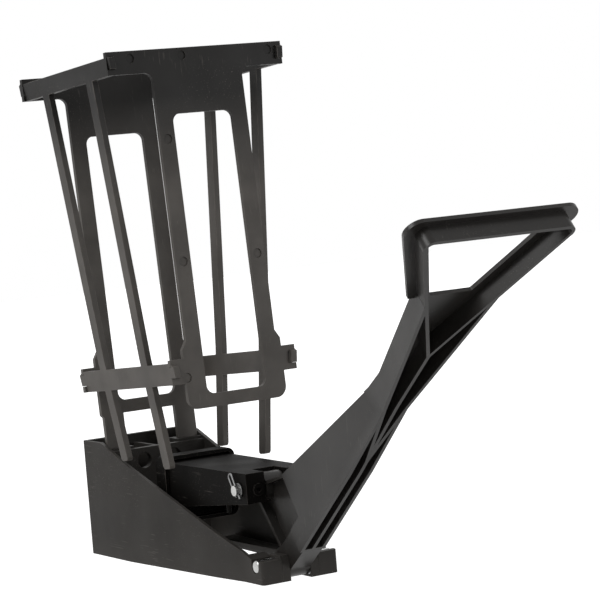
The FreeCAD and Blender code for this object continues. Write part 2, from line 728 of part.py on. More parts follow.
def make_end_panel(label, low, high, outer, legs):
    """A front or back panel: two uprights between a wide top bar and a narrow foot."""
    body = new_body(label, place_magazine)
    top_low = S.panel_top - S.top_bar
    bar_out = S.bar_spread / 2 + S.upright / 2
    bar_in = S.bar_spread / 2 - S.upright / 2
    foot = S.foot_width / 2
    right = [
        (S.top_width / 2, S.panel_top),
        (S.top_width / 2, top_low),
        (bar_out, top_low),
        (bar_out, S.tab_high + S.upright),
        (foot, S.tab_high + S.upright / 2),
        (foot, S.tab_high),
        (S.tab_width / 2, S.tab_high),
        (S.tab_width / 2, S.tab_low),
        (foot, S.tab_low),
    ]
    if legs:
        leg_out = S.leg_spread / 2 + S.leg_width / 2
        leg_in = S.leg_spread / 2 - S.leg_width / 2
        right += [
            (foot, S.foot_bottom),
            (leg_out, S.foot_bottom - (foot - leg_out)),
            (leg_out, S.leg_bottom),
            (leg_in, S.leg_bottom),
            (leg_in, S.foot_bottom),
        ]
    else:
        right += [(foot, S.foot_bottom)]
    outline = right + mirrored(right)
    foot_top = S.foot_bottom + S.foot_bar
    window = rectangle(-bar_in, foot_top, bar_in, top_low - S.gusset_deep)
    pad(body, "YZ", low, high, [outline, window], "frame")
    if legs:
        half = S.leg_spread / 2
        tilt = 2 * S.panel_thick * sine(S.lean)
        wide = S.leg_screw + 2 * S.run_gap + tilt
        holes = [(-half, -S.leg_screw_low, wide), (half, -S.leg_screw_low, wide)]
        pocket(body, "YZ", low - 1, high + 1, holes, "leg_screw_holes")
    slots = []
    for clip_low, clip_high in clip_rows():
        slot = rectangle(
            strip_half(clip_low) - S.strip - S.clip_gap, clip_low - S.clip_gap,
            strip_half(clip_high) + S.clip_gap, clip_high + S.clip_gap,
        )
        slots += [slot, mirrored(slot)]
    pocket(body, "YZ", low - 1, high + 1, slots, "clip_windows")
    middle = S.bar_spread / 2
    spots = [(-middle, S.mark_high), (-middle, S.mark_low), (middle, S.mark_low)]
    spots.append((-S.mark_foot_y, S.mark_foot))
    z = S.panel_top - S.mark_drop
    spots += [(S.top_width * share, z) for share in MARK_SHARES]
    marks = [(y, z, S.mark_diameter) for y, z in spots]
    if outer > 0:
        pocket(body, "YZ", as_size(high) - S.mark_deep, as_size(high) + 1, marks, "marks")
    else:
        pocket(body, "YZ", as_size(low) - 1, as_size(low) + S.mark_deep, marks, "marks")
    inner = [(-bar_in, foot_top), (bar_in, foot_top)]
    inner += [(-bar_in, top_low - S.gusset_deep), (bar_in, top_low - S.gusset_deep)]
    round_off(body, S.upright / 2, "X", inner, "window_corners")
    throat = [(-bar_out, top_low), (bar_out, top_low)]
    round_off(body, S.upright / 2, "X", throat, "throat_corners")
    if not legs:
        low_corners = [(-foot, S.foot_bottom), (foot, S.foot_bottom)]
        round_off(body, S.foot_round, "X", low_corners, "foot_corners")
    return body


def make_side_panel(label, side):
    """Two bars hanging from a top bar, bent inwards under the cross bar."""
    body = new_body(label, place_magazine)
    top_low = S.panel_top - S.top_bar
    top = S.panel_top - S.side_drop
    front = S.can_play - S.seat_gap
    back = -mag_depth + S.can_play + S.seat_gap
    half = S.side_bar / 2
    cross_low = S.tab_low
    cross_high = S.tab_low + S.cross_bar
    end = S.side_bottom

    def bar_x(z):
        return between(as_size(z), end, S.front_bar_low_x, S.panel_top, S.front_bar_top_x)

    rear_a = S.rear_bar_x - half
    rear_b = S.rear_bar_x + half
    outline = [
        (back, top),
        (back, top_low),
        (rear_a, top_low),
        (rear_a, cross_high),
        (back, cross_high),
        (back, cross_low),
        (rear_a, cross_low),
        (rear_a, S.rear_bar_low),
        (rear_b, S.rear_bar_low),
        (rear_b, cross_low),
        (bar_x(cross_low) - half, cross_low),
        (bar_x(end) - half, end),
        (bar_x(end) + half, end),
        (bar_x(cross_low) + half, cross_low),
        (front, cross_low),
        (front, cross_high),
        (bar_x(cross_high) + half, cross_high),
        (bar_x(top_low) + half, top_low),
        (front, top_low),
        (front, top),
    ]
    window = [
        (rear_b, cross_high),
        (bar_x(cross_high) - half, cross_high),
        (bar_x(top_low) - half, top_low),
        (rear_b, top_low),
    ]
    spare = 5
    far = (S.side_top + spare) * side
    near = (S.side_foot - S.strip - spare) * side
    low, high = (far, near) if side < 0 else (near, far)
    pad(body, "XZ", low, high, [outline, window], "frame")
    ends = [(x, S.rear_bar_low) for x in (rear_a, rear_b)]
    ends += [(bar_x(end) - half, end), (bar_x(end) + half, end)]
    round_off(body, S.bar_round, "Y", ends, "bar_ends")
    reach = S.panel_thick + S.seat_gap
    for number, (clip_low, clip_high) in enumerate(clip_rows()):
        for at, way in ((front, 1), (back, -1)):
            tip = at + (reach + S.clip_reach) * way
            catch = at + (reach + 2 * S.seat_gap) * way
            tongue = [
                (at - way, clip_low),
                (tip, clip_low),
                (tip, clip_high),
                (catch, clip_high + S.clip_barb),
                (catch, clip_high),
                (at - way, clip_high),
            ]
            name = "tongue_%d_%s" % (number, "front" if way > 0 else "back")
            pad(body, "XZ", low, high, [tongue], name)
    margin = 3
    z_high = S.panel_top + margin
    z_low = end - margin
    keep = [
        (strip_half(z_high) * side, z_high),
        (S.side_bend * side, S.bend_z),
        (strip_half(z_low) * side, z_low),
        ((strip_half(z_low) - S.strip) * side, z_low),
        ((S.side_bend - S.strip) * side, S.bend_z),
        ((strip_half(z_high) - S.strip) * side, z_high),
    ]
    around = rectangle(
        (S.side_top + spare + margin) * side, z_low - margin,
        (S.side_foot - S.strip - spare - margin) * side, z_high + margin,
    )
    x_low = back - reach - S.clip_reach - 1
    x_high = front + reach + S.clip_reach + 1
    pocket(body, "YZ", x_low, x_high, [around, keep], "bend")
    return body


# ------------------------------------------------------------------ ram


def make_ram():
    body = new_body("ram_body", place_ram)
    rear = S.ram_rear_width / 2
    front = S.ram_front_width / 2
    plan = [(-S.ram_rear, -rear), (S.ram_front, -front), (S.ram_front, front), (-S.ram_rear, rear)]
    pad(body, "XY", -S.ram_rear_low, S.ram_top, [plan], "block")
    under = [
        (-S.ram_rear, -S.ram_rear_low),
        (-S.ram_rear, -S.ram_rear_low - 1),
        (S.ram_front + 1, -S.ram_rear_low - 1),
        (S.ram_front + 1, -S.ram_front_low),
        (S.ram_front, -S.ram_front_low),
    ]
    pocket(body, "XZ", -rear - 1, rear + 1, [under], "underside")
    hollow = [
        (-S.ram_rear + S.ram_wall, -rear + S.ram_wall),
        (S.ram_front - S.ram_wall, -front + S.ram_wall),
        (S.ram_front - S.ram_wall, front - S.ram_wall),
        (-S.ram_rear + S.ram_wall, rear - S.ram_wall),
    ]
    pocket(body, "XY", -S.ram_rear_low - 1, S.ram_top - S.ram_wall, [hollow], "hollow")
    half_fork = S.fork_width / 2
    inside = front - S.ram_wall / 2
    for side, low, high in (("left", -inside, -half_fork), ("right", half_fork, inside)):
        pad(body, "XZ", low, high, [(0, 0, S.pin_boss)], side + "_pin_boss")
    fork = rectangle(-S.fork_deep, -half_fork, S.ram_front + 1, half_fork)
    pocket(body, "XY", -S.ram_rear_low - 1, S.ram_top + 1, [fork], "fork")
    skin = S.ram_wall / 2
    for number, share in enumerate(RIB_SHARES):
        x = -S.ram_rear * share
        rib = rectangle(x - skin, -front + skin, x + skin, front - skin)
        pad(body, "XY", S.ram_top - S.ram_wall * 3, S.ram_top - 1, [rib], "rib_%d" % number)
    y = S.plate_screw_y / 2
    pairs = [(-y, S.plate_screw_high), (y, S.plate_screw_high)]
    pairs += [(-y, -S.plate_screw_low), (y, -S.plate_screw_low)]
    bosses = [(a, b, S.plate_screw * 2) for a, b in pairs]
    rear_in = -S.ram_rear + S.ram_wall
    pad(body, "YZ", -S.ram_rear + 1, rear_in + S.plate_screw_length / 2, bosses, "screw_bosses")
    holes = [(a, b, S.plate_screw + 2 * S.run_gap) for a, b in pairs]
    pocket(body, "YZ", -S.ram_rear - 1, rear_in + S.plate_screw_length, holes, "screw_holes")
    bore = (0, 0, S.pin_diameter + 2 * S.run_gap)
    pocket(body, "XZ", -front - 2, front + 2, [bore], "pin_bore")
    spots = [(-S.front_boss_y, 0), (S.front_boss_y, 0)]
    face = S.ram_front + S.front_boss_high
    discs = [(y, z, S.front_boss) for y, z in spots]
    pad(body, "YZ", S.ram_front - S.ram_wall / 2, face, discs, "front_bosses")
    holes = [(y, z, S.front_boss_hole) for y, z in spots]
    pocket(body, "YZ", face - S.ram_wall, face + 1, holes, "front_boss_holes")
    y = between(-S.peg_back, -S.ram_rear, rear, S.ram_front, front) - S.ram_wall / 2 - OVERLAP
    pegs = [(-S.peg_back, -y, S.peg), (-S.peg_back, y, S.peg)]
    pad(body, "XY", -S.peg_low, 0, pegs, "pegs")
    return body


def make_crush_plate():
    body = new_body("crush_plate", place_ram)
    half = S.plate_width / 2
    face = -S.ram_rear - S.plate_thick
    skin = -S.ram_rear
    low, high = -S.plate_low, S.plate_top
    rim = S.plate_rim_thick
    pad(body, "YZ", face, skin, [rectangle(-half, low, half, high)], "plate")
    ring = [
        rectangle(-half, low, half, high),
        rectangle(-half + rim, low + rim, half - rim, high - rim),
    ]
    pad(body, "YZ", skin - 1, skin + S.plate_rim, ring, "rim")
    y = S.plate_screw_y / 2
    pairs = [(-y, S.plate_screw_high), (y, S.plate_screw_high)]
    pairs += [(-y, -S.plate_screw_low), (y, -S.plate_screw_low)]
    holes = [(a, b, S.plate_screw + 2 * S.run_gap) for a, b in pairs]
    pocket(body, "YZ", face - 1, skin + 1, holes, "screw_holes")
    sinks = [(a, b, S.plate_screw_head + S.head_room) for a, b in pairs]
    pocket(body, "YZ", face - 1, face + S.plate_thick / 2, sinks, "screw_seats")
    corners = [(-half, high), (half, high), (-half, low), (half, low)]
    round_off(body, S.plate_corner, "X", corners, "corners")
    inner = [(-half + rim, high - rim), (half - rim, high - rim)]
    inner += [(-half + rim, low + rim), (half - rim, low + rim)]
    round_off(body, S.plate_corner - rim, "X", inner, "inner_corners")
    return body


def make_plate_screws():
    y = S.plate_screw_y / 2
    x = -S.ram_rear - S.plate_thick / 2
    spots = []
    for z in (S.plate_screw_high, -S.plate_screw_low):
        spots += [(x, -y, z), (x, y, z)]
    screws(
        "plate_screws", spots, (1, 0, 0), S.plate_screw, S.plate_screw_length,
        S.plate_screw_head, S.plate_thick / 2 - S.head_sink, place_ram,
    )


def ram_half_at_pin():
    rear = S.ram_rear_width / 2
    front = S.ram_front_width / 2
    return between(as_size(0), -S.ram_rear, rear, S.ram_front, front)


def cotter_y():
    return -(ram_half_at_pin() + S.washer_thick + 3 * S.seat_gap + S.cotter_wire / 2)


def place_pin(thing):
    """The pin and its cotter, leaning backwards together about the pin's axis."""
    place_ram(thing)
    thing.Placement.Rotation = FreeCAD.Rotation(Vector(0, 1, 0), -S.cotter_lean.value)


def make_clevis_pin():
    body = new_body("clevis_pin", place_pin)
    head_in = ram_half_at_pin() + S.washer_thick + 3 * S.seat_gap
    tail = ram_half_at_pin() + S.pin_tail
    pad(body, "XZ", -tail, head_in, [(0, 0, S.pin_diameter)], "shank")
    pad(body, "XZ", head_in, head_in + S.pin_head_thick, [(0, 0, S.pin_head)], "head")
    hole = (0, cotter_y(), S.cotter_hole)
    pocket(body, "XY", -S.pin_diameter, S.pin_diameter, [hole], "cotter_hole")
    return body


def make_pin_washer(label, side):
    body = new_body(label, place_ram)
    near = ram_half_at_pin() + 2 * S.seat_gap
    far = near + S.washer_thick
    low, high = (-far, -near) if side < 0 else (near, far)
    ring = [(0, 0, S.washer_diameter), (0, 0, S.pin_diameter + 2 * S.run_gap)]
    pad(body, "XZ", low, high, ring, "ring")
    return body


def make_hairpin():
    """A hairpin: one straight leg through the pin, one leg that hugs its outside."""
    y = cotter_y().value
    grip = -(S.pin_diameter / 2 + S.cotter_wire / 2 + 3 * S.run_gap).value
    foot = -(S.pin_diameter / 2 + 2 * S.cotter_wire).value
    bow = S.cotter_rise.value
    bend = -grip / 2
    turn = math.radians(50)
    start = Vector(0, y, foot)
    bow_start = Vector(0, y, bow - bend)
    bow_top = Vector(grip / 2, y, bow)
    bow_end = Vector(grip, y, bow - bend)
    hug_start = Vector(grip, y, 0)
    hug_middle = Vector(grip * math.cos(turn / 2), y, grip * math.sin(turn / 2))
    hug_end = Vector(grip * math.cos(turn), y, grip * math.sin(turn))
    path = Part.Wire([
        Part.LineSegment(start, bow_start).toShape(),
        Part.Arc(bow_start, bow_top, bow_end).toShape(),
        Part.LineSegment(bow_end, hug_start).toShape(),
        Part.Arc(hug_start, hug_middle, hug_end).toShape(),
    ])
    ring = Part.Circle(start, Vector(0, 0, 1), S.cotter_wire.value / 2)
    wire = doc.addObject("Part::Feature", "hairpin_cotter")
    wire.Label = "hairpin_cotter"
    wire.Shape = path.makePipeShell([Part.Wire([ring.toShape()])], True, False)
    place_pin(wire)
    pieces.append(wire)
    return wire


# ------------------------------------------------------------------ lever


def make_bush(label, x, z, bore, low, high, placer):
    """A plain bush round a shaft along Y."""
    body = new_body(label, placer)
    inner = as_size(bore) + 2 * S.run_gap
    ring = [(x, z, as_size(bore) + 2 * S.bush_wall), (x, z, inner)]
    pad(body, "XZ", low, high, ring, "sleeve")
    return body


def crank_tip():
    """The clevis pin in the lever's own frame."""
    cos, sin = cosine(S.stem_angle), sine(S.stem_angle)
    along = S.crank_rise * sin - S.crank_back * cos
    across = S.crank_back * sin + S.crank_rise * cos
    return along, across


def spread(x):
    """Outside half width over the spreading walls at a distance from the rod."""
    return between(as_size(x), S.spread_start, 0, S.fork_x, S.fork_half)


def spread_at(half):
    """Where along the stem the spreading walls reach a half width."""
    return between(as_size(half), 0, S.spread_start, S.fork_half, S.fork_x)


def leg_line(x):
    """Half spacing of the handle's leg walls, to their middle."""
    return (as_size(x) - S.apex_x) * (S.leg_spread_y / S.leg_spread_x)


def both_sides(corners):
    """A closed outline from the corners of its right half."""
    return corners + mirrored_y(corners)


def make_handle(body):
    """The D-shaped frame with its plate; the legs run on inwards as two rails."""
    t = S.stem_wall
    k = S.leg_wall / 2
    run = k / (S.leg_spread_y / S.leg_spread_x)
    far, near = S.grip_wall_x, S.grip_wall_x - t
    out, inn = leg_line(far) + k, leg_line(near) - k
    outer = [(S.apex_x - run, 0), (far, out), (far, -out)]
    inner = [(S.apex_x + run, 0), (near, inn), (near, -inn)]
    pad(body, "XY", S.front_end, S.handle_back, [outer, inner], "frame")
    round_off(body, S.grip_round, "Z", [(far, out), (far, -out)], "frame_corners")
    round_off(body, S.grip_round - t, "Z", [(near, inn), (near, -inn)], "frame_insides")

    # the plate of the handle and the stem's web are one
    web_half = S.stem_half - t / 2
    meet = spread_at(S.stem_half)
    plan = [
        (S.stem_start, web_half),
        (meet, web_half),
        (S.flange_x, spread(S.flange_x) - t / 2),
        (S.flange_x, S.handle_near),
        (S.grip_back, S.handle_far),
    ]
    window = [(S.window_low, S.window_low_half), (S.window_high, S.window_high_half)]
    loops = [both_sides(plan), both_sides(window)]
    pad(body, "XY", S.web_front, S.web_front + S.web_thick, loops, "plate")
    corners = [(S.grip_back, S.handle_far), (S.grip_back, -S.handle_far)]
    round_off(body, S.handle_corner, "Z", corners, "plate_corners")
    for name, radius, (x, y) in zip(
        ("window_near", "window_far"), (S.window_low_round, S.window_high_round), window
    ):
        round_off(body, radius, "Z", [(x, y), (x, -y)], name)


def make_stem(body):
    """Two parallel walls at the root, two spreading ones behind the handle, one rib."""
    t = S.stem_wall
    half = S.stem_half
    middle = S.web_front + S.web_thick / 2
    ceiling = S.cheek_high + t
    floor = S.front_root - t
    meet = spread_at(half)
    wall = [(S.stem_start, half - t), (meet, half - t), (meet, half), (S.stem_start, half)]
    pad(body, "XY", floor, ceiling, [wall], "right_wall")
    pad(body, "XY", floor, ceiling, [mirrored_y(wall)], "left_wall")
    rib = rectangle(S.stem_start, -t / 2, S.apex_x + t, t / 2)
    pad(body, "XY", floor, middle, [rib], "middle_rib")
    inside = t * 0.3
    front = [
        (spread_at(inside) - t, -inside),
        (spread_at(t - inside), -inside),
        (S.fork_x, S.fork_half - t),
        (S.fork_x, S.fork_half),
        (spread_at(inside), inside),
        (spread_at(inside) - t, inside),
    ]
    back = [
        (meet - t, spread(meet - t) - t),
        (S.fork_x, S.fork_half - t),
        (S.fork_x, S.fork_half),
        (meet - t, spread(meet - t)),
    ]
    for side, turned in (("right", list), ("left", mirrored_y)):
        pad(body, "XY", floor, middle, [turned(front)], side + "_spread_front")
        pad(body, "XY", middle, ceiling, [turned(back)], side + "_spread_back")
    end = rectangle(S.stem_start, -half + t / 2, S.stem_start + t, half - t / 2)
    pad(body, "XY", floor, middle, [end], "root_wall")
    rise = (S.cheek_x - S.cheek_start) / (S.cheek_high - S.cheek_low)
    low = S.cheek_start - (S.cheek_low - middle) * rise
    closing = [
        (low, middle),
        (S.cheek_x, S.cheek_high),
        (S.cheek_x + t, S.cheek_high),
        (low + t, middle),
    ]
    deep = half - t / 2
    pad(body, "XZ", -deep, deep, [closing], "cheek_wall")

    # the views from the side: back edge, front edge and the step beside the cheeks
    beyond = S.handle_near
    last = S.fork_x + t
    above = [
        (S.stem_start - 1, ceiling + 1),
        (S.stem_start - 1, S.cheek_low),
        (S.cheek_start, S.cheek_low),
        (S.cheek_x, S.cheek_high),
        (S.neck_x, S.neck_back),
        (S.fork_x, S.handle_back),
        (last, S.handle_back),
        (last, ceiling + 1),
    ]
    below = [
        (S.stem_start - 1, floor - 1),
        (last, floor - 1),
        (last, S.front_end),
        (S.front_x, S.front_end),
        (S.front_bend, S.front_root),
        (S.stem_start - 1, S.front_root),
    ]
    pocket(body, "XZ", -beyond, beyond, [above], "back_view")
    pocket(body, "XZ", -beyond, beyond, [below], "front_view")
    stop = spread_at(half - S.strip_step)
    step = [
        (S.stem_start - 1, S.front_root + S.strip_deep),
        (S.front_bend, S.front_root + S.strip_deep),
        (stop, S.front_end + S.strip_deep),
        (stop, ceiling + 1),
        (S.stem_start - 1, ceiling + 1),
    ]
    pocket(body, "XZ", half - S.strip_step, half + 1, [step], "right_step")
    pocket(body, "XZ", -half - 1, -half + S.strip_step, [step], "left_step")


def make_crank(body):
    """Hub, crank and tip with the bores for their bushes."""
    t = S.stem_wall
    tip_x, tip_z = crank_tip()
    inside = S.stem_start + t / 2
    root = [
        (0, -S.root_width / 2),
        (inside, S.front_root),
        (inside, S.cheek_low),
        (0, S.root_width / 2),
    ]
    pad(body, "XZ", -hub_half, hub_half, [(0, 0, S.hub_diameter)], "hub")
    pad(body, "XZ", -hub_half, hub_half, [root], "root")
    web_back = S.web_front + S.web_thick / 2
    gusset = [
        (0, 0),
        (inside, web_back),
        (S.neck_x, web_back),
        (S.cheek_x + t / 2, S.cheek_high - t),
        (tip_x, tip_z),
    ]
    half = S.crank_web / 2
    pad(body, "XZ", -half, half, [gusset], "crank_web")
    rim = S.crank_rim
    rear = tip_x - S.tip_diameter / 2
    rear_rim = rectangle(rear, S.root_width / 4, rear + rim, tip_z)
    pad(body, "XZ", -hub_half, hub_half, [rear_rim], "crank_rear_rim")
    top_rim = [
        (tip_x, tip_z + rim),
        (tip_x, tip_z),
        (S.cheek_x + t / 3, S.cheek_high - rim),
        (S.cheek_x + t / 3, S.cheek_high - rim / 4),
    ]
    pad(body, "XZ", -hub_half, hub_half, [top_rim], "crank_top_rim")
    pad(body, "XZ", -hub_half, hub_half, [(tip_x, tip_z, S.tip_diameter)], "tip")
    bore = (0, 0, S.rod_diameter + 2 * S.bush_wall)
    tip_bore = (tip_x, tip_z, S.pin_diameter + 2 * S.bush_wall)
    pocket(body, "XZ", -hub_half - 1, hub_half + 1, [bore, tip_bore], "bores")


def make_lever():
    body = new_body("lever", place_lever)
    make_handle(body)
    make_stem(body)
    make_crank(body)
    return body


# ------------------------------------------------------------------ assembly

make_housing()
make_rod()
make_keeper("left_rod_keeper", -1)
make_keeper("right_rod_keeper", 1)
make_keeper_screws("left_keeper_screws", -1)
make_keeper_screws("right_keeper_screws", 1)
make_leg_screws()
make_end_panel("front_panel", S.can_play, S.can_play + S.panel_thick, 1, False)
inner_face = S.can_play - mag_depth
make_end_panel("back_panel", inner_face - S.panel_thick, inner_face, -1, True)
make_side_panel("left_side_panel", -1)
make_side_panel("right_side_panel", 1)
make_ram()
make_crush_plate()
make_plate_screws()
make_clevis_pin()
make_pin_washer("left_pin_washer", -1)
make_pin_washer("right_pin_washer", 1)
make_hairpin()
make_lever()
inset = S.seat_gap
make_bush("left_hub_bush", 0, 0, S.rod_diameter, -hub_half, -inset, place_lever)
make_bush("right_hub_bush", 0, 0, S.rod_diameter, inset, hub_half, place_lever)
tip_x, tip_z = crank_tip()
make_bush("crank_bush", tip_x, tip_z, S.pin_diameter, -hub_half, hub_half, place_lever)
doc.recompute()

for thing in doc.Objects:
    if "Invalid" in thing.State or "Error" in thing.State:
        raise ValueError(thing.Name + " failed to build")
for piece in pieces:
    if piece.Shape.isNull() or not piece.Shape.isValid():
        raise ValueError(piece.Label + " is not a valid solid")

os.makedirs("parts", exist_ok=True)
for piece in pieces:
    piece.Shape.exportStep("parts/%s.step" % piece.Label)
    box = piece.Shape.BoundBox
    print("%-20s %d solid(s) %8.1f cm3  x %.1f..%.1f  y %.1f..%.1f  z %.1f..%.1f" % (
        piece.Label, len(piece.Shape.Solids), piece.Shape.Volume / 1000,
        box.XMin, box.XMax, box.YMin, box.YMax, box.ZMin, box.ZMax))
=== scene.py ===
# %% [markdown]
# # A lever can crusher, dressed for a product picture
#
# The crusher hangs on a wall, and cans lie in its leaning magazine.  Pulling the long
# lever down draws a ram away from the wall, so the lowest can drops in between the two,
# and pushing the lever up again presses the can flat.  All of it is moulded black
# plastic, apart from two steel pins, a wire cotter, washers, screws and nylon bushes.
#
# The shapes that have to fit and move come from the CAD model, which is loaded first.
# This script gives them the small things that a mould, a lathe and a few years in a
# kitchen leave behind: rounded edges, surface grain, rubbed corners and dust.  It also
# paints light into some colours: a highlight on the worn edges, a sheen on the magazine's
# lower part, and shade on the ram.

# %% Load the model
import json
import math

import bmesh
import bpy
from mathutils import Matrix, Vector


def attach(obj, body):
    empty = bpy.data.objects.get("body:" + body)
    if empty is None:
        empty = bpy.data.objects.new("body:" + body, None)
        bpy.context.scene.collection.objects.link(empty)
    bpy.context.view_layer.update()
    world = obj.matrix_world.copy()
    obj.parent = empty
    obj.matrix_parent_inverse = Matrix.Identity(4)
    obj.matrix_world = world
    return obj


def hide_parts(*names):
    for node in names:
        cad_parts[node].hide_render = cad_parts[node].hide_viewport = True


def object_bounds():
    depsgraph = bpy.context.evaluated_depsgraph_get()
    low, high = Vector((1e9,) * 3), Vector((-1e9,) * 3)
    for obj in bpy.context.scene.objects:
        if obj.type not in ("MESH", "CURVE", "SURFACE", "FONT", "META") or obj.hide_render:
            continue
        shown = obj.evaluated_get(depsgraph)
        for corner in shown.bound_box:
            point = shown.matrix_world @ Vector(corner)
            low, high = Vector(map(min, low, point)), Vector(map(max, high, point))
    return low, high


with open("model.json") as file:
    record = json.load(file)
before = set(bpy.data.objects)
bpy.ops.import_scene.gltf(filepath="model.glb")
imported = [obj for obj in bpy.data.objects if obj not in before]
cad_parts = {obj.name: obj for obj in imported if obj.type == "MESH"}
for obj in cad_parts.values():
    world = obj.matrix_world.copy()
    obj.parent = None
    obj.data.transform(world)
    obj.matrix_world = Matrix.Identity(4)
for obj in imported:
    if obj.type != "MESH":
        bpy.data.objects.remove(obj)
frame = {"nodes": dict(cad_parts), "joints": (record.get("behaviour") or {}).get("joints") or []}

nodes = frame["nodes"]
cad_low, cad_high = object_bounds()


def place_of(name):
    """Where a joint of the CAD model turns, in mm."""
    joint = next(j for j in frame["joints"] if j["name"] == name)
    return Vector([1000 * c for c in joint["pos_m"]])


ROD, PIN = place_of("lever_swing"), place_of("ram_pivot")
print("pieces from the CAD model:", len(nodes))
print("overall size in mm:", [round(1000 * s) for s in cad_high - cad_low])

# %% [markdown]
# ## Camera
#
# A long lens from far away keeps the magazine's uprights nearly parallel.  The camera
# stands in front of the nose and to its left, as high as the magazine's upper part, and
# leans over by a few degrees, so the picture looks livelier than a level one.  A camera
# could also be aimed with a constraint, but plain numbers are easier to repeat.

# %% Camera
LENS, SENSOR = 158.7, 36.0                      # mm
CAMERA_PLACE = (1.9696, -1.0114, 0.3114)        # metres
CAMERA_TURN = (85.7485, 4.6221, 58.5911)        # degrees

camera_data = bpy.data.cameras.new("camera")
camera_data.lens = LENS
camera_data.sensor_width = SENSOR
camera_data.clip_start = 0.05
camera_data.clip_end = 50.0
camera = bpy.data.objects.new("camera", camera_data)
camera.location = CAMERA_PLACE
camera.rotation_euler = [math.radians(a) for a in CAMERA_TURN]
bpy.context.scene.collection.objects.link(camera)
bpy.context.scene.camera = camera
print("camera is", round((camera.location - (cad_low + cad_high) / 2).length, 2), "m away")

# %% [markdown]
# ## Floor and background
#
# The floor is a pale sheet that runs far back.  Lamps are only strong near the object,
# so a real sheet would turn grey in the distance.  One could curve it up like paper in a
# photo studio.  Here it glows a little instead, more with every metre from the middle,
# until it is as white as the room behind it and the seam between them is gone.  Only
# the camera and mirrors see that glow, so it lights nothing and the shadow stays.  The
# crusher hangs on a wall, and its lever swings far below the housing, so the floor lies
# lower than the lever reaches.

# %% Floor and background
FLOOR_SIZE = 14.0                       # all in metres
LEVER_ROOM = 0.29                       # between the housing and the floor
FLOOR_LEVEL = cad_low.z - LEVER_ROOM
GLOW_START, GLOW_FULL = 0.5, 3.5        # distances from the middle
PAPER = (0.86, 0.86, 0.86, 1)
WHITE = (1, 1, 1, 1)


def feed(tree, socket, value):
    """Links a node's input to another socket, or sets it to a plain value."""
    if isinstance(value, bpy.types.NodeSocket):
        tree.links.new(value, socket)
    else:
        socket.default_value = value


def math_node(tree, operation, a, b, clamp=False):
    """A Math node; a and b are sockets or numbers."""
    node = tree.nodes.new("ShaderNodeMath")
    node.operation = operation
    node.use_clamp = clamp
    feed(tree, node.inputs[0], a)
    feed(tree, node.inputs[1], b)
    return node.outputs[0]


def spread(tree, value, from_low, from_high, to_low=0.0, to_high=1.0):
    """Maps from_low..from_high to to_low..to_high, with soft ends."""
    node = tree.nodes.new("ShaderNodeMapRange")
    node.interpolation_type = "SMOOTHSTEP"
    for socket, item in zip(node.inputs, (value, from_low, from_high, to_low, to_high)):
        feed(tree, socket, item)
    return node.outputs["Result"]


def seen_directly(tree):
    """A factor that is 1 for what the camera, a mirror or glass looks at."""
    rays = tree.nodes.new("ShaderNodeLightPath").outputs
    seen = math_node(tree, "MAXIMUM", rays["Is Camera Ray"], rays["Is Glossy Ray"])
    return math_node(tree, "MAXIMUM", seen, rays["Is Transmission Ray"])


def make_floor(near, far):
    """near and far: how strongly the sheet glows under the object and in the distance."""
    half = FLOOR_SIZE / 2
    corners = [(-half, -half), (half, -half), (half, half), (-half, half)]
    mesh = bpy.data.meshes.new("floor")
    mesh.from_pydata([(x, y, FLOOR_LEVEL) for x, y in corners], [], [(0, 1, 2, 3)])
    floor = bpy.data.objects.new("floor", mesh)
    bpy.context.scene.collection.objects.link(floor)
    paper = bpy.data.materials.new("white paper")
    paper.use_nodes = True
    tree = paper.node_tree
    shader = tree.nodes["Principled BSDF"]
    shader.inputs["Base Color"].default_value = PAPER
    shader.inputs["Roughness"].default_value = 0.9
    shader.inputs["Specular IOR Level"].default_value = 0.1
    shader.inputs["Emission Color"].default_value = WHITE
    away = tree.nodes.new("ShaderNodeVectorMath")
    away.operation = "LENGTH"
    tree.links.new(tree.nodes.new("ShaderNodeTexCoord").outputs["Object"], away.inputs[0])
    glow = spread(tree, away.outputs["Value"], GLOW_START, GLOW_FULL, near, far)
    glow = math_node(tree, "MULTIPLY", glow, seen_directly(tree))
    tree.links.new(glow, shader.inputs["Emission Strength"])
    mesh.materials.append(paper)


def make_room(lit, seen):
    """The world: lit is its strength as a lamp, seen as a background."""
    world = bpy.data.worlds.new("room")
    world.use_nodes = True
    tree = world.node_tree
    light = tree.nodes["Background"]
    light.inputs["Color"].default_value = WHITE
    strength = spread(tree, seen_directly(tree), 0.0, 1.0, lit, seen)
    tree.links.new(strength, light.inputs["Strength"])
    bpy.context.scene.world = world


make_floor(near=0.42, far=1.0)
make_room(lit=0.32, seen=1.0)
bpy.context.scene.view_settings.view_transform = "Standard"
print("floor level in mm:", round(1000 * FLOOR_LEVEL))

# %% [markdown]
# ## Lamps
#
# Black plastic has hardly any colour of its own, so it is shaped by what it mirrors.  A
# large soft box high on the left lights the housing's side and the lever's cheek.  A low
# one on the right stands where the magazine's front uprights mirror it, like a window
# beside a kitchen counter, and makes them paler than the rest.  A third one, high behind
# the wall side, lifts the top edges.  Sun lamps would need less care, but leave hard
# shadows.

# %% Lamps
MIDDLE = (0.2, 0.0, 0.15)       # where all lamps look, in metres


def soft_box(name, place, wide, high, power):
    """A rectangular lamp; sizes in metres, power in watts."""
    lamp = bpy.data.lights.new(name, "AREA")
    lamp.shape = "RECTANGLE"
    lamp.size = wide
    lamp.size_y = high
    lamp.energy = power
    box = bpy.data.objects.new(name, lamp)
    box.location = place
    aim = Vector(MIDDLE) - Vector(place)
    box.rotation_euler = aim.to_track_quat("-Z", "Y").to_euler()
    box.visible_camera = False
    bpy.context.scene.collection.objects.link(box)
    print("%-10s %4.1f W, glows at %.1f" % (name, power, power / (math.pi * wide * high)))


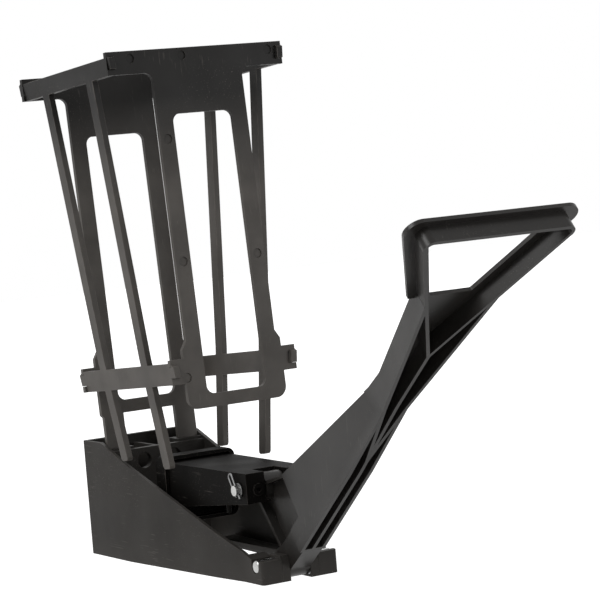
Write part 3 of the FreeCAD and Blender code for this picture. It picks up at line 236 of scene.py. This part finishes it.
soft_box("big box", (0.5, -2.2, 1.9), wide=1.8, high=1.2, power=46)
soft_box("window box", (1.75, 1.0, 0.42), wide=0.8, high=0.75, power=6)
soft_box("back box", (-1.5, 0.6, 1.8), wide=1.2, high=0.6, power=13)

# %% [markdown]
# ## Effects that several materials share
#
# Each effect is a node group: built once, and placed in every material with values of
# its own.  `grain` is the fine pebbled skin that a spark-eroded mould leaves on plastic.
# `wander` is a slow change that keeps a broad face from looking like paint on a screen.
# `rub_and_edge_highlight` finds the rounded edges, which a later step marks on the mesh,
# and breaks that mark up, because hands and cans rub some stretches more than others;
# the pale colour laid there is partly that wear and partly a painted highlight.  `scuff`
# draws short fine scratches along one direction.  `dust` is a thin scatter of pale specks.
# `paler_below` marks where a paler colour goes below a height: a band at the housing's
# foot, and on the magazine's lower part a painted sheen.

# %% Node groups
COARSER, COARSE_SHARE = 0.31, 0.6       # the coarse grain's scale and height, of the fine one's
# Where a noise value starts to count, and where it counts fully:
PATCHES, CLOUDS, SPECKS = (0.4, 0.62), (0.3, 0.7), (0.74, 0.8)
SCRATCHES, SCRATCHED_AREAS, DUSTY_AREAS = (0.64, 0.7), (0.5, 0.66), (0.45, 0.65)


def new_group(name, inputs, output):
    """A shader group; inputs is [(name, default)], and the output is a number."""
    group = bpy.data.node_groups.new(name, "ShaderNodeTree")
    for label, value in inputs:
        kind = "NodeSocketVector" if isinstance(value, tuple) else "NodeSocketFloat"
        socket = group.interface.new_socket(label, in_out="INPUT", socket_type=kind)
        socket.default_value = value
    group.interface.new_socket(output, in_out="OUTPUT", socket_type="NodeSocketFloat")
    return group, group.nodes.new("NodeGroupInput"), group.nodes.new("NodeGroupOutput")


def noise(tree, scale, detail=2.0, rough=0.5, stretch=None):
    """Noise in the object's own coordinates, scaled per metre."""
    place = tree.nodes.new("ShaderNodeTexCoord").outputs["Object"]
    if stretch is not None:
        mapping = tree.nodes.new("ShaderNodeMapping")
        feed(tree, mapping.inputs["Scale"], stretch)
        feed(tree, mapping.inputs["Vector"], place)
        place = mapping.outputs[0]
    node = tree.nodes.new("ShaderNodeTexNoise")
    settings = {"Vector": place, "Scale": scale, "Detail": detail, "Roughness": rough}
    for label, value in settings.items():
        feed(tree, node.inputs[label], value)
    return node.outputs["Fac"]


def close_mask(group, mask, start, end):
    """Scales a mask by the group's Amount and sends it out."""
    mask = math_node(group, "MULTIPLY", mask, start.outputs["Amount"], clamp=True)
    group.links.new(mask, end.inputs[0])
    return group


def make_grain():
    group, start, end = new_group("grain", [("Size", 1800.0), ("Depth", 1.0)], "Height")
    fine = noise(group, start.outputs["Size"], detail=1.0)
    coarse = noise(group, math_node(group, "MULTIPLY", start.outputs["Size"], COARSER))
    coarse = math_node(group, "MULTIPLY", coarse, COARSE_SHARE)
    both = math_node(group, "ADD", fine, coarse)
    height = math_node(group, "MULTIPLY", both, start.outputs["Depth"])
    group.links.new(height, end.inputs[0])
    return group


def make_wander():
    inputs = [("Middle", 0.4), ("Swing", 0.1), ("Size", 18.0)]
    group, start, end = new_group("wander", inputs, "Value")
    slow = noise(group, start.outputs["Size"], detail=3.0)
    swing = math_node(group, "SUBTRACT", slow, 0.5)
    swing = math_node(group, "MULTIPLY", swing, start.outputs["Swing"])
    value = math_node(group, "ADD", start.outputs["Middle"], swing, clamp=True)
    group.links.new(value, end.inputs[0])
    return group


def make_rub_and_edge_highlight():
    group, start, end = new_group("rub_and_edge_highlight", [("Amount", 0.5)], "Mask")
    # The rounded edges' mask; the pale colour it carries is partly wear and partly a painted
    # highlight.
    mark = group.nodes.new("ShaderNodeAttribute")
    mark.attribute_name = "edge"
    patches = noise(group, scale=55.0, detail=4.0, rough=0.65)
    patches = spread(group, patches, *PATCHES, to_low=0.15)
    mask = math_node(group, "MULTIPLY", mark.outputs["Fac"], patches)
    return close_mask(group, mask, start, end)


def make_scuff():
    inputs = [("Amount", 0.3), ("Stretch", (1.0, 0.04, 1.0))]
    group, start, end = new_group("scuff", inputs, "Mask")
    lines = noise(group, scale=700.0, detail=1.0, stretch=start.outputs["Stretch"])
    lines = spread(group, lines, *SCRATCHES)
    where = spread(group, noise(group, scale=38.0), *SCRATCHED_AREAS)
    mask = math_node(group, "MULTIPLY", lines, where)
    return close_mask(group, mask, start, end)


def make_dust():
    group, start, end = new_group("dust", [("Amount", 0.3), ("Size", 1100.0)], "Mask")
    specks = noise(group, start.outputs["Size"], detail=0.0)
    specks = spread(group, specks, *SPECKS)
    where = spread(group, noise(group, scale=16.0), *DUSTY_AREAS)
    mask = math_node(group, "MULTIPLY", specks, where)
    return close_mask(group, mask, start, end)


# A mask for a paler colour below a height; on the magazine it carries a painted sheen.
def make_paler_below():
    """Full below the height Full, gone above the height Gone, both in metres."""
    inputs = [("Amount", 0.5), ("Full", 0.0), ("Gone", 0.1)]
    group, start, end = new_group("paler_below", inputs, "Mask")
    axes = group.nodes.new("ShaderNodeSeparateXYZ")
    place = group.nodes.new("ShaderNodeTexCoord").outputs["Object"]
    group.links.new(place, axes.inputs[0])
    up = math_node(group, "SUBTRACT", axes.outputs["Z"], start.outputs["Full"])
    span = math_node(group, "SUBTRACT", start.outputs["Gone"], start.outputs["Full"])
    paler_band = math_node(group, "SUBTRACT", 1.0, math_node(group, "DIVIDE", up, span), clamp=True)
    clouds = noise(group, scale=30.0, detail=3.0)
    clouds = spread(group, clouds, *CLOUDS, to_low=0.7)
    mask = math_node(group, "MULTIPLY", paler_band, clouds)
    return close_mask(group, mask, start, end)


MAKERS = (make_grain, make_wander, make_rub_and_edge_highlight, make_scuff, make_dust, make_paler_below)
GROUPS = {group.name: group for group in [make() for make in MAKERS]}
print("groups:", sorted(GROUPS))

# %% [markdown]
# ## Plastic
#
# The four black plastics are the same polypropylene with a different skin and a
# different past.  The housing's mould was grained most and looks dull, and the lever and
# the magazine have a satin skin.  The ram sits in the shade, and its plastic is given a
# much darker grey than the others, which is painted shade.  The base is a nearly black,
# slightly warm grey.  Below a height a paler grey may be mixed in: a band at the
# housing's foot, and on the magazine's lower part a painted sheen.  Rubbed edges, scuffs
# and dust are mixed over it in turn, and the pale edges are partly wear and partly a
# painted highlight.  Rubbed plastic shines more, and dust shines less.  The bushes'
# natural nylon is built the same way, from a cream base.

# %% Plastic
MIX_FACTOR, MIX_A, MIX_B, MIX_RESULT = 0, 6, 7, 2      # a Mix node's sockets for colours
ALONG_X, ALONG_Z = (0.05, 1.0, 1.0), (1.0, 1.0, 0.05)  # how lines of noise are stretched
RUBBED_SHINE, DUST_DULL = -0.22, 0.4                   # what they add to the roughness
# First how high a paler band runs along the housing's foot, then the heights below which the
# magazine's painted sheen is full and above which it has gone, in metres.
FOOT_BAND, PAINTED_SHEEN_HEIGHTS = 0.0175, (0.25, 0.325)            # how high dull films go, metres


def place_group(tree, name, **values):
    """A shared effect with values of its own; gives its only output."""
    node = tree.nodes.new("ShaderNodeGroup")
    node.node_tree = GROUPS[name]
    for label, value in values.items():
        node.inputs[label].default_value = value
    return node.outputs[0]


def mix_colours(tree, factor, a, b):
    node = tree.nodes.new("ShaderNodeMix")
    node.data_type = "RGBA"
    for number, value in ((MIX_FACTOR, factor), (MIX_A, a), (MIX_B, b)):
        feed(tree, node.inputs[number], value)
    return node.outputs[MIX_RESULT]


def grey(level, warm=0.1):
    """A grey that leans towards brown by the share warm."""
    return (level * (1 + warm), level, level * (1 - warm), 1.0)


# The first grey is the pale colour of the rounded edges: partly wear, partly a painted
# highlight.
EDGE_WEAR_AND_HIGHLIGHT, SCRATCHED, DUSTED = grey(0.15), grey(0.1), grey(0.22)


def new_material(name):
    material = bpy.data.materials.new(name)
    material.use_nodes = True
    return material, material.node_tree, material.node_tree.nodes["Principled BSDF"]


def bump(tree, shader, height, strength, distance):
    node = tree.nodes.new("ShaderNodeBump")
    node.inputs["Strength"].default_value = strength
    node.inputs["Distance"].default_value = distance
    tree.links.new(height, node.inputs["Height"])
    tree.links.new(node.outputs[0], shader.inputs["Normal"])


def plastic(name, dark, light, rough, shine, grain, rubbed_and_highlighted, scuffed, dusty, paler_band=None):
    """Moulded plastic.  grain is (size, depth), scuffed (amount, stretch), and paler_band
    (amount, full below, gone above, colour), a paler colour mixed in below a height.
    rubbed_and_highlighted is how much pale colour the rounded edges get, wear and painted
    highlight together."""
    material, tree, shader = new_material(name)
    shader.inputs["Specular IOR Level"].default_value = shine
    tone = place_group(tree, "wander", Middle=0.5, Swing=1.5, Size=26.0)
    colour = mix_colours(tree, tone, dark, light)
    # Below a height a paler grey is mixed in; on the magazine this is a painted sheen.
    if paler_band:
        paler_below = place_group(tree, "paler_below", Amount=paler_band[0], Full=paler_band[1], Gone=paler_band[2])
        colour = mix_colours(tree, paler_below, colour, paler_band[3])
    # The rounded edges get a pale colour, partly wear and partly a painted highlight.
    edge = place_group(tree, "rub_and_edge_highlight", Amount=rubbed_and_highlighted)
    colour = mix_colours(tree, edge, colour, EDGE_WEAR_AND_HIGHLIGHT)
    lines = place_group(tree, "scuff", Amount=scuffed[0], Stretch=scuffed[1])
    colour = mix_colours(tree, lines, colour, SCRATCHED)
    specks = place_group(tree, "dust", Amount=dusty, Size=1100.0)
    colour = mix_colours(tree, specks, colour, DUSTED)
    tree.links.new(colour, shader.inputs["Base Color"])
    roughness = place_group(tree, "wander", Middle=rough, Swing=0.2, Size=34.0)
    for mask, shift in ((edge, RUBBED_SHINE), (specks, DUST_DULL)):
        shift = math_node(tree, "MULTIPLY", mask, shift)
        roughness = math_node(tree, "ADD", roughness, shift)
    tree.links.new(roughness, shader.inputs["Roughness"])
    skin = place_group(tree, "grain", Size=grain[0], Depth=grain[1])
    skin = math_node(tree, "SUBTRACT", skin, lines)
    bump(tree, shader, skin, strength=0.5, distance=0.0001)
    return material


MATERIALS = {
    "housing_plastic": plastic(
        "housing plastic", dark=grey(0.016), light=grey(0.027), rough=0.6, shine=0.15,
        grain=(1500.0, 1.0), rubbed_and_highlighted=0.35, scuffed=(0.25, ALONG_X), dusty=0.2,
        paler_band=(0.25, cad_low.z, cad_low.z + FOOT_BAND, grey(0.05)),
    ),
    "panel_plastic": plastic(
        "panel plastic", dark=grey(0.004), light=grey(0.008), rough=0.45, shine=0.16,
        grain=(2200.0, 0.5), rubbed_and_highlighted=0.7, scuffed=(0.3, ALONG_Z), dusty=0.25,
        # On the magazine's lower part the paler grey is a painted sheen.
        paler_band=(1.0, *PAINTED_SHEEN_HEIGHTS, grey(0.075)),
    ),
    # The ram's very dark grey is painted shade, for it sits in shade.
    "ram_plastic": plastic(
        "ram plastic", dark=grey(0.0025), light=grey(0.005), rough=0.55, shine=0.035,
        grain=(1800.0, 0.7), rubbed_and_highlighted=0.7, scuffed=(0.3, ALONG_X), dusty=0.14,
    ),
    "lever_plastic": plastic(
        "lever plastic", dark=grey(0.009), light=grey(0.019), rough=0.33, shine=0.24,
        grain=(2000.0, 0.45), rubbed_and_highlighted=0.9, scuffed=(0.25, ALONG_Z), dusty=0.2,
    ),
    "bush_nylon": plastic(
        "natural nylon", dark=(0.52, 0.5, 0.44, 1), light=(0.62, 0.6, 0.53, 1),
        rough=0.42, shine=0.4, grain=(1500.0, 0.3), rubbed_and_highlighted=0.0,
        scuffed=(0.2, ALONG_X), dusty=0.0,
    ),
}
print("plastics:", sorted(MATERIALS))

# %% [markdown]
# ## Steel
#
# The rod and the clevis pin are drawn steel, bright and faintly streaked along their
# length.  The screws are zinc plated, which is colder, duller and blotchy, and the
# cotter and the pin's washers are dull spring steel.  All are plain metal shaders: the streaks
# are noise stretched along one axis, used as height.

# %% Steel
ALONG_Y, EVEN = (1, 0.05, 1), (1, 1, 1)
STAINED = 0.7                   # how bright a stain is, of the clean metal


def steel(name, colour, rough, streaks, blotch):
    """Metal; streaks is how its noise is stretched, blotch the scale of its stains."""
    material, tree, shader = new_material(name)
    shader.inputs["Metallic"].default_value = 1.0
    tone = place_group(tree, "wander", Middle=0.5, Swing=1.3, Size=blotch)
    dull = tuple(STAINED * c for c in colour[:3]) + (1.0,)
    tree.links.new(mix_colours(tree, tone, dull, colour), shader.inputs["Base Color"])
    roughness = place_group(tree, "wander", Middle=rough, Swing=0.22, Size=90.0)
    tree.links.new(roughness, shader.inputs["Roughness"])
    lines = noise(tree, scale=900.0, stretch=streaks)
    bump(tree, shader, lines, strength=0.35, distance=0.00003)
    return material


DRAWN_GREY = (0.5, 0.5, 0.49, 1)
ZINC_GREY = (0.5, 0.51, 0.52, 1)
WIRE_GREY = (0.2, 0.2, 0.2, 1)
MATERIALS["bright_steel"] = steel("drawn steel", DRAWN_GREY, 0.26, ALONG_Y, blotch=160.0)
MATERIALS["zinc_steel"] = steel("zinc plating", ZINC_GREY, 0.36, EVEN, blotch=420.0)
WIRE_STEEL = steel("dull spring wire", WIRE_GREY, 0.4, ALONG_Z, blotch=300.0)
print("metals: bright_steel, zinc_steel and", WIRE_STEEL.name)

# %% [markdown]
# ## From CAD solids to moulded pieces
#
# A CAD edge is perfectly sharp, and a sharp edge never catches the light.  A real
# moulding has a radius of a few tenths of a millimetre everywhere.  One could sculpt or
# subdivide, but the faces here are flat and have to stay where the fit needs them.  So
# each solid's loose triangles are merged, flat neighbours are joined into one face, and
# a narrow Bevel rounds every edge that turns by more than 30 degrees.  The bevel's own
# faces get the mark that `rub_and_edge_highlight` reads, where the plastics lay their
# pale colour of wear and painted highlight.  A Weighted Normal modifier then keeps the
# broad faces shaded flat right up to the rounding.

# %% Rounded copies of the CAD pieces
SHARP = math.radians(30)        # an edge that turns by more is rounded
FLAT = math.radians(1)          # faces that turn by less become one
TINY = 1e-6                     # metres
BEVEL_STEPS = 2
ONLY_BY_AREA = 100              # the Weighted Normal modifier's strongest weight
shown = {}


def copy_of(node, name):
    """The node's triangles as a closed mesh with flat faces joined."""
    mesh = nodes[node].data.copy()
    mesh.name = name
    work = bmesh.new()
    work.from_mesh(mesh)
    bmesh.ops.remove_doubles(work, verts=work.verts, dist=2 * TINY)
    bmesh.ops.dissolve_degenerate(work, edges=work.edges, dist=TINY)
    bmesh.ops.dissolve_limit(
        work, angle_limit=FLAT, verts=work.verts, edges=work.edges,
        use_dissolve_boundaries=False, delimit=set(),
    )
    work.to_mesh(mesh)
    work.free()
    mesh.materials.clear()
    return mesh


def linked(name, mesh):
    """A new object of the scene."""
    piece = bpy.data.objects.new(name, mesh)
    bpy.context.scene.collection.objects.link(piece)
    return piece


def applied(piece):
    """Turns a piece with modifiers into a plain mesh."""
    graph = bpy.context.evaluated_depsgraph_get()
    mesh = bpy.data.meshes.new_from_object(piece.evaluated_get(graph))
    piece.modifiers.clear()
    old, piece.data = piece.data, mesh
    bpy.data.meshes.remove(old)


def smooth(mesh):
    """Shades every face smooth, so that the weighted normals count."""
    for face in mesh.polygons:
        face.use_smooth = True


def soften(piece, radius, mark=0):
    """Rounds the edges; mark is the material slot that the new faces get."""
    bevel = piece.modifiers.new("soft edges", "BEVEL")
    bevel.width = radius
    bevel.segments = BEVEL_STEPS
    bevel.limit_method = "ANGLE"
    bevel.angle_limit = SHARP
    bevel.material = mark
    flat = piece.modifiers.new("flat faces", "WEIGHTED_NORMAL")
    flat.mode = "FACE_AREA"
    flat.weight = ONLY_BY_AREA
    flat.keep_sharp = False


def mark_edges(mesh, slot_index):
    """Writes the bevel's faces to the "edge" attribute, and drops their extra slot."""
    mark = mesh.attributes.new("edge", "FLOAT", "CORNER")
    for face in mesh.polygons:
        if face.material_index == slot_index:
            for corner in face.loop_indices:
                mark.data[corner].value = 1.0
        face.material_index = 0
    mesh.materials.pop(index=slot_index)


def show(piece, node, body):
    """The piece takes the CAD node's place on its body."""
    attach(piece, body)
    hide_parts(node)
    shown[node] = piece


def rounded(node, body, slot, radius=0.0005):
    """Shows a CAD node as a piece whose edges are rounded by radius metres."""
    mesh = copy_of(node, node + "_dressed")
    mesh.materials.append(MATERIALS[slot])
    mesh.materials.append(MATERIALS[slot])      # an extra slot for the rounded edges
    piece = linked(node + "_dressed", mesh)
    smooth(mesh)
    soften(piece, radius, mark=1)
    applied(piece)
    mark_edges(piece.data, 1)
    show(piece, node, body)


MOULDED = {
    "base": [
        ("housing", "housing_plastic"), ("left_rod_keeper", "housing_plastic"),
        ("right_rod_keeper", "housing_plastic"), ("front_panel", "panel_plastic"),
        ("back_panel", "panel_plastic"), ("left_side_panel", "panel_plastic"),
        ("right_side_panel", "panel_plastic"),
    ],
    "lever_arm": [("lever", "lever_plastic")],
    "ram": [("ram_body", "ram_plastic"), ("crush_plate", "ram_plastic")],
}
for body, group in MOULDED.items():
    for node, slot in group:
        rounded(node, body, slot)
        print("%-18s %6d faces" % (node, len(shown[node].data.polygons)))

# %% [markdown]
# ## Turned pins
#
# The pivot rod and the clevis pin come off a lathe or are cut from drawn bar.  Their CAD
# shapes are already right, with the rod's chamfers and the pin's head and cross hole, so
# they only get a finer rounding than the mouldings.

# %% Turned pins
for node, body in (("pivot_rod", "base"), ("clevis_pin", "ram")):
    rounded(node, body, "bright_steel", radius=0.0002)
print("pins:", [round(1000 * s, 1) for s in shown["clevis_pin"].dimensions])

# %% [markdown]
# ## A screw that repeats
#
# Ten cap screws of three sizes hold the crusher together.  Modelling each by hand would be
# dull, so a Geometry Nodes tree makes one screw from its sizes and places it on every
# point that it is given.  The head is a disc with a hexagon left open in its middle,
# pushed up to the head's height, over a lower disc that is the socket's floor.  The tree
# ends by making the instances real, because a linked copy doesn't survive an export.

# %% A tree for cap screws
RING_SIDES, ROD_SIDES, HEXAGON = 48, 40, 6
KEY_RADIUS = 0.45               # the hexagon's, of the shank's diameter
KEY_FLOOR = 0.4                 # height of the socket's floor, of the head's height
FLOOR_RADIUS = 0.8              # the lower disc's, of the head's radius


def new_tree(name, numbers, vectors=()):
    """A Geometry Nodes tree with named numbers [(name, default)], vectors and a material."""
    tree = bpy.data.node_groups.new(name, "GeometryNodeTree")
    sockets = [("Geometry", "Geometry", None)]
    sockets += [(label, "Int" if isinstance(n, int) else "Float", n) for label, n in numbers]
    sockets += [(label, "Vector", None) for label in vectors]
    for label, kind, value in sockets + [("Finish", "Material", None)]:
        kind = "NodeSocket" + kind
        socket = tree.interface.new_socket(label, in_out="INPUT", socket_type=kind)
        if value is not None:
            socket.default_value = value
    tree.interface.new_socket("Geometry", in_out="OUTPUT", socket_type="NodeSocketGeometry")
    return tree, tree.nodes.new("NodeGroupInput").outputs, tree.nodes.new("NodeGroupOutput")


def add(tree, kind, links=None, **settings):
    """Adds a node; links maps input names or numbers to sockets or values."""
    node = tree.nodes.new(kind)
    for key, value in settings.items():
        setattr(node, key, value)
    for key, value in (links or {}).items():
        feed(tree, node.inputs[key], value)
    return node


def half(tree, size):
    return math_node(tree, "MULTIPLY", size, 0.5)


def join(tree, parts):
    node = add(tree, "GeometryNodeJoinGeometry")
    for part in parts:
        tree.links.new(part, node.inputs[0])
    return node.outputs[0]


def circle(tree, radius, sides):
    links = {"Resolution": sides, "Radius": radius}
    return add(tree, "GeometryNodeCurvePrimitiveCircle", links).outputs[0]


def ring(tree, outer, inner, high, inner_sides=RING_SIDES):
    """A closed ring standing on the XY plane; outer and inner are radii."""
    rims = [circle(tree, outer, RING_SIDES), circle(tree, inner, inner_sides)]
    disc = add(tree, "GeometryNodeFillCurve", {0: join(tree, rims)}).outputs[0]
    lift = {"Mesh": disc, "Offset Scale": high, "Individual": False}
    top = add(tree, "GeometryNodeExtrudeMesh", lift).outputs[0]
    under = add(tree, "GeometryNodeFlipFaces", {0: disc}).outputs[0]
    weld = {0: join(tree, [under, top]), "Distance": TINY}
    return add(tree, "GeometryNodeMergeByDistance", weld).outputs[0]


def rod(tree, radius, low, high):
    """A cylinder along Z between two heights."""
    deep = math_node(tree, "SUBTRACT", high, low)
    sizes = {"Vertices": ROD_SIDES, "Radius": radius, "Depth": deep}
    bar = add(tree, "GeometryNodeMeshCylinder", sizes)
    middle = half(tree, math_node(tree, "ADD", high, low))
    lift = add(tree, "ShaderNodeCombineXYZ", {"Z": middle})
    move = {0: bar.outputs["Mesh"], "Translation": lift.outputs[0]}
    return add(tree, "GeometryNodeTransform", move).outputs[0]


def finish_tree(tree, shape, inputs, end):
    """Realize Instances, then Set Material."""
    real = add(tree, "GeometryNodeRealizeInstances", {0: shape})
    links = {0: real.outputs[0], "Material": inputs["Finish"]}
    dressed = add(tree, "GeometryNodeSetMaterial", links)
    tree.links.new(dressed.outputs[0], end.inputs[0])
    return tree


def on_points(tree, shape, inputs):
    """Stands the shape on every point, its Z axis turned to Facing."""
    facing = {"Vector": inputs["Facing"]}
    turn = add(tree, "FunctionNodeAlignRotationToVector", facing, axis="Z").outputs[0]
    links = {"Points": inputs["Geometry"], "Instance": shape, "Rotation": turn}
    return add(tree, "GeometryNodeInstanceOnPoints", links).outputs[0]


def make_screw_tree():
    """A cap screw along Z, with its head above zero; all its sizes are diameters or
    lengths in metres."""
    sizes = [("Shank", 0.003), ("Length", 0.016), ("Head", 0.0056), ("Height", 0.0024)]
    tree, inputs, end = new_tree("cap screw", sizes, ["Facing"])
    shank, head = half(tree, inputs["Shank"]), half(tree, inputs["Head"])
    key = math_node(tree, "MULTIPLY", inputs["Shank"], KEY_RADIUS)
    floor = math_node(tree, "MULTIPLY", inputs["Height"], KEY_FLOOR)
    inside = math_node(tree, "MULTIPLY", head, FLOOR_RADIUS)
    below = math_node(tree, "MULTIPLY", inputs["Length"], -1.0)
    parts = join(tree, [
        ring(tree, head, key, inputs["Height"], inner_sides=HEXAGON),
        rod(tree, inside, 0.0, floor),
        rod(tree, shank, below, 0.0),
    ])
    return finish_tree(tree, on_points(tree, parts, inputs), inputs, end)


SCREW = make_screw_tree()
print("screw tree:", len(SCREW.nodes), "nodes")

# %% [markdown]
# ## Putting the screws in
#
# A screw's place is the point under its head, and Facing is where the head looks.  The
# keepers' screws sit just below the rod and are driven outwards from the middle, the
# legs' screws come from the wall side, and the plate's from its pressing face, where the
# heads sit in round recesses.  A modifier's inputs are set by the sockets' identifiers
# before anything is evaluated.

# %% Screws
KEEPER_ASIDE, KEEPER_BELOW, KEEPER_Y = 6.3, 8.6, 11.8   # from the rod's axis; all in mm
LEG_X, LEG_Y, LEG_Z = 4.0, 33.0, 28.42
PLATE_X, PLATE_Y, PLATE_Z = 102.5, 18.0, (26.5, 9.5)


def by_tree(name, tree, points, values, radius, edges=()):
    """A plain mesh that the tree makes from points in mm, rounded by radius metres."""
    mesh = bpy.data.meshes.new(name)
    mesh.from_pydata([Vector(p) / 1000 for p in points], edges, [])
    piece = linked(name, mesh)
    modifier = piece.modifiers.new(tree.name, "NODES")
    modifier.node_group = tree
    for item in tree.interface.items_tree:
        if item.in_out == "INPUT" and item.name in values:
            modifier[item.identifier] = values[item.name]
    soften(piece, radius)
    applied(piece)
    smooth(piece.data)
    return piece


def screws(node, body, points, facing, **sizes):
    """Screws with the tree's sizes, and points under their heads, all in mm."""
    values = {label: value / 1000 for label, value in sizes.items()}
    values.update(Facing=facing, Finish=MATERIALS["zinc_steel"])
    piece = by_tree(node + "_dressed", SCREW, points, values, radius=0.00015)
    show(piece, node, body)
    print("%-20s %d, heads %.1f mm wide" % (node, len(points), sizes["Head"]))


TO_THE_WALL = (-1, 0, 0)
for side, name in ((-1, "left_keeper_screws"), (1, "right_keeper_screws")):
    across = (ROD.x - KEEPER_ASIDE, ROD.x + KEEPER_ASIDE)
    points = [(x, side * KEEPER_Y, ROD.z - KEEPER_BELOW) for x in across]
    screws(name, "base", points, (0, -side, 0), Shank=3.0, Length=16.0, Head=5.6, Height=2.4)
points = [(LEG_X, side * LEG_Y, LEG_Z) for side in (-1, 1)]
screws("leg_screws", "base", points, TO_THE_WALL, Shank=4.0, Length=40.0, Head=8.0, Height=3.7)
points = [(PLATE_X, side * PLATE_Y, z) for side in (-1, 1) for z in PLATE_Z]
screws("plate_screws", "ram", points, TO_THE_WALL, Shank=4.0, Length=15.0, Head=7.6, Height=2.2)

# %% [markdown]
# ## Washers and the wire cotter
#
# A washer is the ring of the screw's head with a round hole, so its tree is short.  The
# cotter is one bent wire: a straight leg through the pin's hole, a bow, and a second leg
# that hugs the pin.  Its middle line is a row of points, and a tree sweeps a small
# circle along it.  A curve object with a bevel depth would look the same, but a tree
# keeps the wire's thickness as a named size.

# %% Washers and cotter
WASHER_Y, COTTER_Y = 26.9, -29.0                # all in mm, from the pin's centre
COTTER_FOOT, COTTER_BEND = -7.2, 12.5           # heights of the leg's end and the bow's start
BOW = 4.95 / 2                                  # half the distance between the legs
HUG, LEAN = 50, 30                              # degrees round the pin, and backwards
ARC_STEPS = 14


def make_washer_tree():
    """A washer on every point, in metres."""
    sizes = [("Outside", 0.011), ("Bore", 0.0082), ("Thickness", 0.0012)]
    tree, inputs, end = new_tree("washer", sizes, ["Facing"])
    outer, inner = half(tree, inputs["Outside"]), half(tree, inputs["Bore"])
    body = ring(tree, outer, inner, inputs["Thickness"])
    return finish_tree(tree, on_points(tree, body, inputs), inputs, end)


def make_wire_tree():
    """A wire along the points' edges, with closed ends, in metres."""
    tree, inputs, end = new_tree("wire", [("Thickness", 0.0016), ("Sides", 16)])
    path = add(tree, "GeometryNodeMeshToCurve", {0: inputs["Geometry"]}).outputs[0]
    section = circle(tree, half(tree, inputs["Thickness"]), inputs["Sides"])
    links = {"Curve": path, "Profile Curve": section, "Fill Caps": True}
    wire = add(tree, "GeometryNodeCurveToMesh", links).outputs[0]
    return finish_tree(tree, wire, inputs, end)


def arc(x, z, radius, start, stop):
    """Points of an arc in the XZ plane, from one angle to another in degrees."""
    turn = (stop - start) / ARC_STEPS
    angles = [math.radians(start + turn * n) for n in range(ARC_STEPS + 1)]
    return [(x + radius * math.cos(a), 0.0, z + radius * math.sin(a)) for a in angles]


WASHER, WIRE = make_washer_tree(), make_wire_tree()
for side, name in ((-1, "left_pin_washer"), (1, "right_pin_washer")):
    place = PIN + Vector((0, side * WASHER_Y, 0))
    values = {"Facing": (0, side, 0), "Finish": WIRE_STEEL}
    washer = by_tree(name + "_dressed", WASHER, [place], values, radius=0.0001)
    show(washer, name, "ram")

line = [(0.0, 0.0, COTTER_FOOT)] + arc(-BOW, COTTER_BEND, BOW, 0, 180)
line += arc(0.0, 0.0, 2 * BOW, 180, 180 + HUG)
lean = Matrix.Rotation(math.radians(-LEAN), 3, "Y")
line = [lean @ Vector(p) + PIN + Vector((0, COTTER_Y, 0)) for p in line]
steps = [(n, n + 1) for n in range(len(line) - 1)]
values = {"Finish": WIRE_STEEL}
cotter = by_tree("hairpin_cotter_dressed", WIRE, line, values, radius=0.0002, edges=steps)
show(cotter, "hairpin_cotter", "ram")
print("cotter in mm:", [round(1000 * s, 1) for s in cotter.dimensions])

# %% [markdown]
# ## Bushes
#
# The three plain bushes sit inside the hub and the crank, and only their end faces show.
# Their CAD shapes stay as they are and get the cream nylon.

# %% Bushes
for node in ("left_hub_bush", "right_hub_bush", "crank_bush"):
    slots = nodes[node].data.materials
    for number in range(len(slots)):
        slots[number] = MATERIALS["bush_nylon"]
print("CAD pieces replaced:", len(shown), "of", len(nodes))
